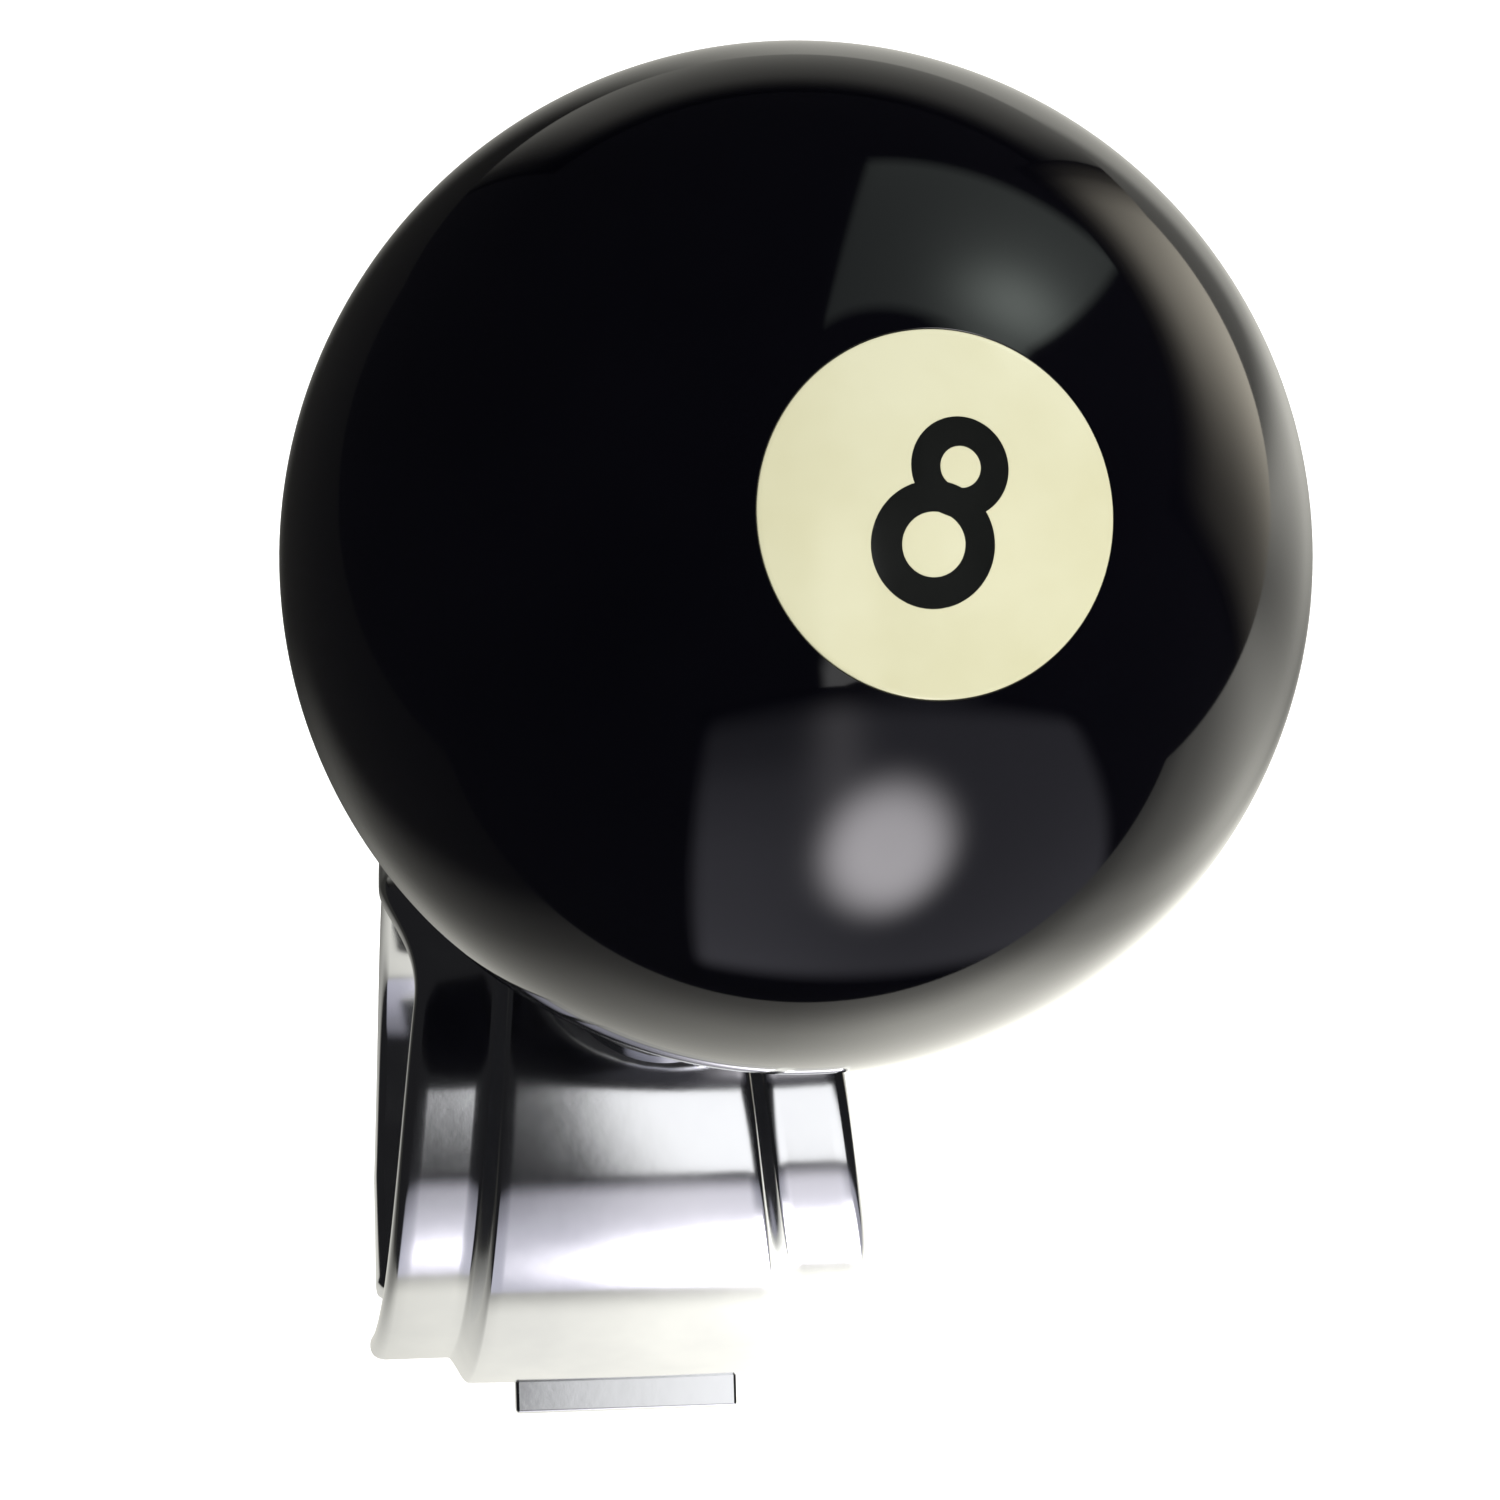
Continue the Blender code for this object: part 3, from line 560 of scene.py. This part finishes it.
def pressed(levels, widths, start, end, steps, soft, crown):
    """A pressed strip bent about the X axis, with rounded rims all the way round."""
    stations = []
    roll = [(1.0 - math.cos(math.radians(22.5 * k)), 1.0 - math.sin(math.radians(22.5 * k)))
            for k in range(5)]
    step_back = math.degrees(soft / levels[1])
    for shrink, back in reversed(roll):
        stations.append((start + step_back * back, soft * shrink))
    for i in range(1, steps):
        stations.append((start + step_back + (end - start - 2 * step_back) * i / steps, 0.0))
    for shrink, back in roll:
        stations.append((end - step_back * back, soft * shrink))
    points, faces, count = [], [], 0
    for angle, shrink in stations:
        half = half_section(widths(angle), levels, soft, shrink, crown)
        section = half + [(-x, r) for x, r in reversed(half[1:-1])]
        count = len(section)
        for x, r in section:
            points.append((x, *around(angle, r)))
    for i in range(len(stations) - 1):
        a, b = i * count, (i + 1) * count
        for j in range(count):
            k = (j + 1) % count
            faces.append([a + j, a + k, b + k, b + j])
    last = (len(stations) - 1) * count
    faces.append(list(range(count)))
    faces.append([last + j for j in range(count)])
    return points, faces


def ribbed(radii, edge_of, start, end, steps, ridges):
    """A rubber strip whose inner side carries low ridges along the rim."""
    inner, outer = radii
    points, faces = [], []
    across = ridges * 8
    for i in range(steps + 1):
        angle = start + (end - start) * i / steps
        edge = edge_of(angle)
        section = [(-edge, outer), (edge, outer)]
        for k in range(across + 1):
            x = edge - 2.0 * edge * k / across
            low = 0.5 - 0.5 * math.cos(2.0 * math.pi * k / 8)
            section.append((x, inner + 0.22 * (1.0 - low)))
        count = len(section)
        for x, r in section:
            points.append((x, *around(angle, r)))
    for i in range(steps):
        a, b = i * count, (i + 1) * count
        for j in range(count):
            k = (j + 1) % count
            faces.append([a + j, a + k, b + k, b + j])
    faces.append(list(range(count)))
    faces.append([steps * count + j for j in range(count)])
    return points, faces


def ear_plate(name, levels, reach_in, hole):
    """A plate with a round outer end and a bolt hole, across the bolt."""
    outline = ([(-EAR_HALF, -reach_in), (EAR_HALF, -reach_in)]
               + circle((0.0, 0.0), EAR_HALF, 72, 0.0, 180.0))
    body = bare(name, *prism(outline, *levels), AT_EAR)
    return carve(body, bare("hole_form", *prism(circle((0.0, 0.0), hole, 64), levels[0] - 1.0,
                                                levels[1] + 1.0), AT_EAR))


def build_saddle():
    """Flared chrome upper half, its mounting pad, bolt ear and hinge lugs."""
    levels = (INNER_RADIUS, WING_RADIUS, BAND_RADIUS)
    shell = bare("saddle_shell", *pressed(levels, saddle_widths, BACK_END, FRONT_END, 150, 0.80,
                                          0.12))
    hole = circle((0.0, 0.0), STUD_HOLE, 72)
    carve(shell, bare("hole_form", *prism(hole, 12.0, 22.0), LEANED))
    dress(shell, CHROME, "clamp", "chrome", "saddle", sharp=50.0)

    low, high = PAD_HEIGHTS
    outline = [(STUD_HOLE, low), (PAD_RADIUS, low), (PAD_RADIUS, high), (STUD_HOLE, high)]
    pad = bare("mounting_pad", *lathe(soften(outline, 0.5, 6), 160), LEANED)
    dress(pad, COLLAR, "clamp", "chrome", sharp=50.0)

    ear = ear_plate("upper_ear", UPPER_EAR, 8.6, 2.95)
    dress(ear, CHROME, "clamp", "chrome", bevel=0.35)

    outline = hull(circle((PIN_Y, PIN_Z), LUG_RADIUS, 60)
                   + [around(110.0, 17.3), around(110.0, 16.8), around(113.5, 17.9),
                      around(113.5, 15.9)])
    for side, name in ((-1, "hinge_lug_left"), (1, "hinge_lug_right")):
        span = sorted((side * LUG_INNER, side * (LUG_INNER + LUG_THICKNESS)))
        lug = bare(name, *prism(outline, *span, axis="X"))
        bore = circle((PIN_Y, PIN_Z), PIN_RADIUS + 0.05, 40)
        carve(lug, bare("hole_form", *prism(bore, -12.0, 12.0, axis="X")))
        dress(lug, CHROME, "clamp", "chrome", bevel=0.25)


def build_jaw():
    """Ribbed chrome lower strap with the hinge knuckle, its lip and the lower ear."""
    levels = (INNER_RADIUS, WING_RADIUS, WING_RADIUS + 1.0)
    strap = bare("jaw_shell", *pressed(levels, jaw_widths, PIN_ANGLE + 4.0, 277.0, 110, 0.70,
                                       0.05))
    dress(strap, CHROME, "jaw", "chrome", "lower_jaw", sharp=50.0)

    knuckle = bare("jaw_knuckle", *lathe(soften(
        [(PIN_RADIUS + 0.1, -KNUCKLE_HALF), (KNUCKLE_RADIUS, -KNUCKLE_HALF),
         (KNUCKLE_RADIUS, KNUCKLE_HALF), (PIN_RADIUS + 0.1, KNUCKLE_HALF)], 0.3), 96), AT_PIN)
    dress(knuckle, CHROME, "jaw", "chrome", sharp=50.0)

    half = LIP_THICKNESS / 2.0
    out = math.radians(LIP_ANGLE)
    flat = [(PIN_RADIUS + 0.6, -half), (LIP_REACH, -half), (LIP_REACH, half),
            (PIN_RADIUS + 0.6, half)]
    outline = [(PIN_Y - a * math.sin(out) - b * math.cos(out),
                PIN_Z + a * math.cos(out) - b * math.sin(out)) for a, b in flat]
    lip = bare("jaw_lip", *prism(outline, -KNUCKLE_HALF, KNUCKLE_HALF, axis="X"))
    dress(lip, CHROME, "jaw", "chrome", bevel=0.28)

    ear = ear_plate("lower_ear", LOWER_EAR, 9.6, 2.75)
    dress(ear, CHROME, "jaw", "chrome", bevel=0.35)


def build_liners():
    """Ribbed rubber between the clamp and the rim."""
    upper = bare("saddle_rubber", *ribbed(
        LINER_RADII, lambda a: min(saddle_widths(a)[0] - 1.2, 16.6), -62.0, 110.0, 96, 12))
    carve(upper, bare("hole_form", *prism(circle((0.0, 0.0), 5.1, 64), 10.0, 16.0), LEANED))
    dress(upper, RUBBER, "clamp", "rubber", "saddle_liner", sharp=50.0)
    lower = bare("jaw_rubber", *ribbed(
        LINER_RADII, lambda a: 0.78 * jaw_widths(a)[0], 143.0, 272.0, 72, 7))
    dress(lower, RUBBER, "jaw", "rubber", "jaw_liner", sharp=50.0)


# ---------------------------------------------------------------- fasteners

def thread(radius, z, degrees):
    """Radius of a screw thread at a height and an angle."""
    phase = (z / THREAD_PITCH - degrees / 360.0) % 1.0
    wave = abs(2.0 * phase - 1.0)
    return radius - THREAD_DEPTH * (1.0 - ease(wave))


def build_bolt():
    """Socket head bolt with a knurled head and a rolled thread."""
    rows = [(BOLT_SHANK, BOLT_HEAD[1] + 0.12 * k) for k in range(1, 121)]
    outline = ([(0.0, BOLT_HEAD[0])]
               + soften([(1.0, BOLT_HEAD[0]), (BOLT_HEAD_RADIUS, BOLT_HEAD[0]),
                         (BOLT_HEAD_RADIUS, BOLT_HEAD[1]), (1.0, BOLT_HEAD[1])], 0.45)[5:15]
               + [(BOLT_SHANK, BOLT_HEAD[1])] + rows + [(BOLT_SHANK - 0.6, BOLT_TIP),
                                                        (0.0, BOLT_TIP)])

    def turned(r, z, degrees):
        if r > BOLT_HEAD_RADIUS - 0.01 and BOLT_HEAD[0] + 0.3 < z < BOLT_HEAD[1] - 0.3:
            return r - 0.12 * (0.5 - 0.5 * math.cos(math.radians(degrees * 45)))
        if abs(r - BOLT_SHANK) < 1e-6 and z > LOWER_EAR[0]:
            return thread(r, z, degrees)
        return r

    side = [(BOLT_HEAD_RADIUS, BOLT_HEAD[0] + 0.5 + k) for k in range(1, 4)]
    place = next(i for i, p in enumerate(outline) if p[0] >= BOLT_HEAD_RADIUS - 1e-6)
    outline[place + 1:place + 1] = side
    body = bare("socket_head_bolt", *lathe(outline, 270, radius_of=turned), AT_EAR)
    carve(body, bare("socket_form", *prism(circle((0.0, 0.0), 2.31, 6), BOLT_HEAD[0] - 1.0,
                                           BOLT_HEAD[0] + 2.7), AT_EAR))
    dress(body, ZINC, "bolt", "zinc_steel", "clamp_bolt", sharp=50.0)


def hexagon(across, degrees):
    """Radius of a hexagon's edge at an angle in degrees."""
    return across / 2.0 / math.cos(math.radians((degrees % 60.0) - 30.0))


def hex_nut(name, low, high, across, bore):
    """A nut with turned chamfers on its corners."""
    corner = across / 2.0 / math.cos(math.radians(30.0))
    outline = [(bore, low), (across * 0.47, low), (corner, low + 0.5), (corner, high - 0.5),
               (across * 0.47, high), (bore, high)]
    fine = []
    for (r1, z1), (r2, z2) in zip(outline, outline[1:] + outline[:1]):
        for k in range(6):
            fine.append((r1 + (r2 - r1) * k / 6, z1 + (z2 - z1) * k / 6))

    def flats(r, z, degrees):
        return min(r, hexagon(across, degrees))

    return bare(name, *lathe(fine, 180, radius_of=flats), AT_EAR)


def build_fasteners():
    """Nut and washers of the clamp bolt."""
    nut = hex_nut("clamp_hex_nut", *NUT_HEIGHTS, NUT_ACROSS_FLATS, 2.5)
    dress(nut, ZINC, "clamp", "zinc_steel", "clamp_nut", sharp=25.0)
    low, high = FLAT_WASHER
    washer = bare("flat_washer", *lathe(soften([(2.7, low), (4.9, low), (4.9, high), (2.7, high)],
                                               0.22), 128), AT_EAR)
    dress(washer, ZINC, "bolt_washers", "zinc_steel", "clamp_flat_washer", sharp=50.0)
    low, high = SPRING_WASHER[0], SPRING_WASHER[1] - 0.3
    spring = bare("spring_washer", *lathe(
        soften([(2.7, low), (4.3, low), (4.3, high), (2.7, high)], 0.18), 128, 6.0, 348.0,
        lift_of=lambda degrees: 0.3 * (degrees - 6.0) / 348.0), AT_EAR)
    dress(spring, ZINC, "bolt_washers", "zinc_steel", "clamp_spring_washer", sharp=50.0)


# ---------------------------------------------------------------- studio

def lamp_material(name):
    """Emission that takes its colour from the mesh's own light attribute."""
    made = bpy.data.materials.new(name)
    made.use_nodes = True
    nodes, links = made.node_tree.nodes, made.node_tree.links
    nodes.clear()
    colour = nodes.new("ShaderNodeAttribute")
    colour.attribute_name = "light"
    glow = nodes.new("ShaderNodeEmission")
    out = nodes.new("ShaderNodeOutputMaterial")
    links.new(colour.outputs["Color"], glow.inputs["Color"])
    links.new(glow.outputs["Emission"], out.inputs["Surface"])
    return made


GLOW = lamp_material("studio_glow")
LILAC = (0.88, 0.87, 1.0)
WHITE = (1.0, 1.0, 1.0)
CREAM = (1.0, 0.985, 0.90)
BEIGE = (1.0, 0.93, 0.78)
MOSS = (0.90, 1.0, 0.93)

# the lamp in the window, in degrees round the ball
LAMP_AZIMUTH = -14.0
LAMP_RISE = -11.5
LAMP_WIDTH = 11.2
LAMP_HEIGHT = 15.6
LAMP_POWER = 7.2
LAMP_COLOUR = (1.0, 0.96, 1.0)

# the glowing floor round the object, in metres, and the drops below the object in millimetres
NEAR_FLOOR_START = (-0.20, -0.077)
NEAR_FLOOR_SIZE = (0.40, 0.33)
NEAR_FLOOR_DROP = 0.4
JAW_DROP = 38.0
FLOOR_RADIUS = 2400.0
DOME_RADIUS = 2500.0


def reflection_only(thing):
    """Keeps a studio panel out of sight of everything but gloss."""
    thing.visible_camera = False
    thing.visible_diffuse = False
    thing.visible_transmission = False
    thing.visible_volume_scatter = False
    thing.visible_shadow = False


def panel(name, points, colours, columns):
    """A glowing grid of points in metres, with a colour at each point."""
    rows = len(points) // columns
    faces = [[r * columns + c, r * columns + c + 1, (r + 1) * columns + c + 1,
              (r + 1) * columns + c] for r in range(rows - 1) for c in range(columns - 1)]
    mesh = bpy.data.meshes.new(name)
    mesh.from_pydata(points, [], faces)
    light = mesh.attributes.new("light", "FLOAT_COLOR", "POINT")
    for item, value in zip(light.data, colours):
        item.color = (*value, 1.0)
    mesh.materials.append(GLOW)
    made = bpy.data.objects.new(name, mesh)
    bpy.context.scene.collection.objects.link(made)
    reflection_only(made)


def sky_card(name, corners, shade, distance, steps=24, bulge=0.0):
    """A panel seen from the ball between four (azimuth, elevation) corners.

    Azimuth is measured from the front (-Y) towards -X. shade(u, v, azimuth, rise) gives the
    light at a place on the panel, u from its first side to its second and v from its foot to
    its top; bulge raises the middle of the top.
    """
    middle = LEANED @ Vector((0.0, 0.0, BALL_HEIGHT * MM))
    (a0, e0), (a1, e1), (a2, e2), (a3, e3) = corners
    points, colours = [], []
    for j in range(steps + 1):
        v = j / steps
        for i in range(steps + 1):
            u = i / steps
            low = (a0 + (a1 - a0) * u, e0 + (e1 - e0) * u)
            high = (a3 + (a2 - a3) * u, e3 + (e2 - e3) * u)
            across = low[0] + (high[0] - low[0]) * v
            up = low[1] + (high[1] + bulge * 4.0 * u * (1.0 - u) - low[1]) * v
            azimuth, rise = math.radians(across), math.radians(up)
            away = Vector((-math.sin(azimuth) * math.cos(rise),
                           -math.cos(azimuth) * math.cos(rise), math.sin(rise)))
            points.append(tuple(middle + away * distance))
            colours.append(shade(u, v, across, up))
    panel(name, points, colours, steps + 1)


def tint(colour, strength):
    """A colour times a strength."""
    return tuple(c * strength for c in colour)


def rise_and_fall(t, soft):
    """Smooth from 0 at either end of a unit stretch to 1 within a soft margin."""
    return ease(min(t, 1.0 - t) / soft)


def bump_of(u, v, middle, spread):
    """A round soft bump over a panel, 1 at its middle."""
    return math.exp(-((u - middle[0]) ** 2 + (v - middle[1]) ** 2) / spread)


def window_light(u, v, azimuth, rise):
    """A lilac window with soft sides, and the bright lamp in front of it."""
    side = ease(u / 0.05) * ease((1.0 - u) / 0.06) * ease(v / 0.10) * ease((1.0 - v) / 0.12)
    away = (((azimuth - LAMP_AZIMUTH) / LAMP_WIDTH) ** 2
            + ((rise - LAMP_RISE) / LAMP_HEIGHT) ** 2)
    lamp = LAMP_POWER * math.exp(-0.9 * away * away)
    left = 0.22 * ease((0.5 - u) / 0.4) * ease((0.85 - v) / 0.4)
    corner = 1.0 - 0.4 * ease((v - 0.70) / 0.2) * ease((0.5 - u) / 0.25)
    column = 0.55 * math.exp(-((azimuth + 5.0) / 6.0) ** 2) * ease((rise + 30.0) / 20.0) * side
    pane = tint(LILAC, (0.39 + left) * corner * side)
    return tuple(p + (lamp + column) * c for p, c in zip(pane, LAMP_COLOUR))


def strip_light(u, *_):
    """A white upright strip for the chrome."""
    return tint(WHITE, 1.15 * rise_and_fall(u, 0.2))


def side_light(u, v, *_):
    """A warm wall on the right with a soft glow."""
    glow = math.exp(-0.5 * (((u - 0.63) / 0.22) ** 2 + ((v - 0.46) / 0.33) ** 2))
    return tint(BEIGE, (0.16 + 2.0 * glow) * rise_and_fall(u, 0.15)
                * ease(v / 0.10) * ease((1.0 - v) / 0.20))


def back_light(u, v, *_):
    """A greenish panel behind, brightest near its right top."""
    glow = bump_of(u, v, (0.82, 0.68), 0.040)
    wide = bump_of(u, v, (0.80, 0.52), 0.12)
    return tint(MOSS, (0.33 + 0.15 * u * v + 0.35 * wide + 1.6 * glow)
                * rise_and_fall(u, 0.05) * rise_and_fall(v, 0.08))


def rear_light(u, v, *_):
    """A wall behind that fades upwards."""
    return tint(CREAM, (0.55 - 0.50 * v) * rise_and_fall(u, 0.2) * ease((1.0 - v) / 0.3))


def near_floor_light(x, y):
    """Light that the floor round the object sends up, at a place in metres."""
    left = ease((x + 0.085) / 0.04) * ease((0.045 - y) / 0.035)
    beside = ease((x + 0.052) / 0.026) * ease((0.030 - y) / 0.03)
    middle = ease((x + 0.035) / 0.04) * ease((0.04 - y) / 0.05)
    middle *= 1.0 - 0.75 * ease((x - 0.075) / 0.03)
    right = ease(x / 0.035) * (1.0 - ease((x - 0.045) / 0.03)) * ease((0.07 - y) / 0.06)
    far = ease((x - 0.05) / 0.05) * ease((0.11 - y) / 0.04) * ease((y + 0.05) / 0.06)
    back = ease((x + 0.06) / 0.10) * ease((y - 0.03) / 0.06)
    back *= 1.0 - 0.6 * ease((x - 0.10) / 0.04) * ease((y - 0.09) / 0.04)
    edge = 0.30 + 0.70 * ease((y - NEAR_FLOOR_START[1]) / 0.030)
    return tint(CREAM, 0.03 + 0.20 * left + (0.32 * beside + 0.48 * middle) * edge
                + 1.08 * right * edge + 0.55 * far + 0.70 * back)


def build_reflections():
    """Panels that the polished ball and the chrome mirror."""
    sky_card("window_card", ((22, -49), (-65, -56), (-54, 1), (24.5, 19)), window_light, 1.6,
             56, 17.0)
    sky_card("front_strip", ((-1, 22), (-16, 22), (-24, 66), (3, 66)), strip_light, 1.8)
    sky_card("side_wall", ((-90, -64), (-152, -60), (-150, 8), (-92, 8)), side_light, 1.3)
    sky_card("back_panel", ((-167, 25), (-133, 4), (-106, 50), (-167, 76)), back_light, 1.7)
    sky_card("rear_wall", ((-145, -30), (-205, -30), (-205, 2), (-145, 2)), rear_light, 1.5)

    height = cad_box[0].z - NEAR_FLOOR_DROP * MM
    columns = 61
    points, colours = [], []
    for j in range(columns):
        for i in range(columns):
            x = NEAR_FLOOR_START[0] + NEAR_FLOOR_SIZE[0] * i / (columns - 1)
            y = NEAR_FLOOR_START[1] + NEAR_FLOOR_SIZE[1] * j / (columns - 1)
            points.append((x, y, height))
            colours.append(near_floor_light(x, y))
    panel("near_floor_glow", points, colours, columns)


def plain_material(name, colour, glow):
    """A matt studio surface with a faint mottle and a glow of its own."""
    made = bpy.data.materials.new(name)
    made.use_nodes = True
    nodes, links = made.node_tree.nodes, made.node_tree.links
    shader = nodes["Principled BSDF"]
    shader.inputs["Roughness"].default_value = 0.9
    shader.inputs["Specular IOR Level"].default_value = 0.0
    shader.inputs["Emission Strength"].default_value = glow
    shader.inputs["Emission Color"].default_value = (1.0, 1.0, 1.0, 1.0)
    speck = nodes.new("ShaderNodeTexNoise")
    speck.inputs["Scale"].default_value = 6.0
    tones = nodes.new("ShaderNodeValToRGB")
    tones.color_ramp.elements[0].color = (*[c * 0.99 for c in colour], 1.0)
    tones.color_ramp.elements[1].color = (*colour, 1.0)
    links.new(speck.outputs["Fac"], tones.inputs["Fac"])
    links.new(tones.outputs["Color"], shader.inputs["Base Color"])
    return made


def build_floor():
    """Pale floor below the reach of the opened jaw, and a pale dome round the set."""
    low = cad_box[0].z / MM - JAW_DROP
    floor = bare("studio_floor", *prism(circle((0.0, 0.0), FLOOR_RADIUS, 96), low - 2.0, low))
    floor.data.materials.append(plain_material("pale_floor", (0.90, 0.90, 0.89), 0.45))
    floor.visible_glossy = False
    rings, around_it = 24, 48
    points, faces = [], []
    for j in range(rings + 1):
        rise = math.pi * (j / rings - 0.5)
        for i in range(around_it):
            turn = 2.0 * math.pi * i / around_it
            points.append((DOME_RADIUS * math.cos(rise) * math.cos(turn),
                           DOME_RADIUS * math.cos(rise) * math.sin(turn),
                           DOME_RADIUS * math.sin(rise)))
    for j in range(rings):
        for i in range(around_it):
            k = (i + 1) % around_it
            faces.append([j * around_it + i, j * around_it + k, (j + 1) * around_it + k,
                          (j + 1) * around_it + i])
    dome = bare("studio_dome", points, faces)
    dome.data.materials.append(plain_material("pale_dome", (0.02, 0.02, 0.02), 0.92))
    dome.visible_glossy = False


def area_light(name, place, target, size, power):
    """A soft round light that gloss doesn't see."""
    data = bpy.data.lights.new(name, "AREA")
    data.shape = "DISK"
    data.size = size
    data.energy = power
    made = bpy.data.objects.new(name, data)
    made.location = place
    aim = Vector(target) - Vector(place)
    made.rotation_euler = aim.to_track_quat("-Z", "Y").to_euler()
    made.visible_glossy = False
    bpy.context.scene.collection.objects.link(made)


# the camera, in degrees, metres and millimetres of lens
CAMERA_AZIMUTH = 6.18
CAMERA_ELEVATION = 57.34
CAMERA_ROLL = 3.594
CAMERA_DISTANCE = 0.300
CAMERA_AIM = (0.00629, -0.00801, 0.05413)
CAMERA_LENS = 129.04


def build_camera():
    """Camera above the front, a little to the left, hardly rolled."""
    turn, rise = math.radians(CAMERA_AZIMUTH), math.radians(CAMERA_ELEVATION)
    back = Vector((-math.sin(turn) * math.cos(rise), -math.cos(turn) * math.cos(rise),
                   math.sin(rise)))
    data = bpy.data.cameras.new("studio_camera")
    data.lens = CAMERA_LENS
    data.sensor_width = 36.0
    data.clip_start = 0.01
    made = bpy.data.objects.new("studio_camera", data)
    level = back.to_track_quat("Z", "Y").to_matrix()
    roll = Matrix.Rotation(math.radians(CAMERA_ROLL), 3, "Z")
    made.matrix_world = (Matrix.Translation(Vector(CAMERA_AIM) + back * CAMERA_DISTANCE)
                         @ (level @ roll).to_4x4())
    bpy.context.scene.collection.objects.link(made)
    bpy.context.scene.camera = made


def build_studio():
    """Everything round the object."""
    scene = bpy.context.scene
    scene.view_settings.view_transform = "Standard"
    world = bpy.data.worlds.new("studio_world")
    world.use_nodes = True
    world.node_tree.nodes["Background"].inputs["Color"].default_value = (0.012, 0.012, 0.013, 1.0)
    scene.world = world
    build_floor()
    build_reflections()
    area_light("key_light", (0.55, -0.35, 0.75), (0.0, 0.0, 0.04), 0.5, 5.0)
    build_camera()


dress_frame()
build_ball()
build_collar()
build_saddle()
build_jaw()
build_liners()
build_bolt()
build_fasteners()
build_studio()
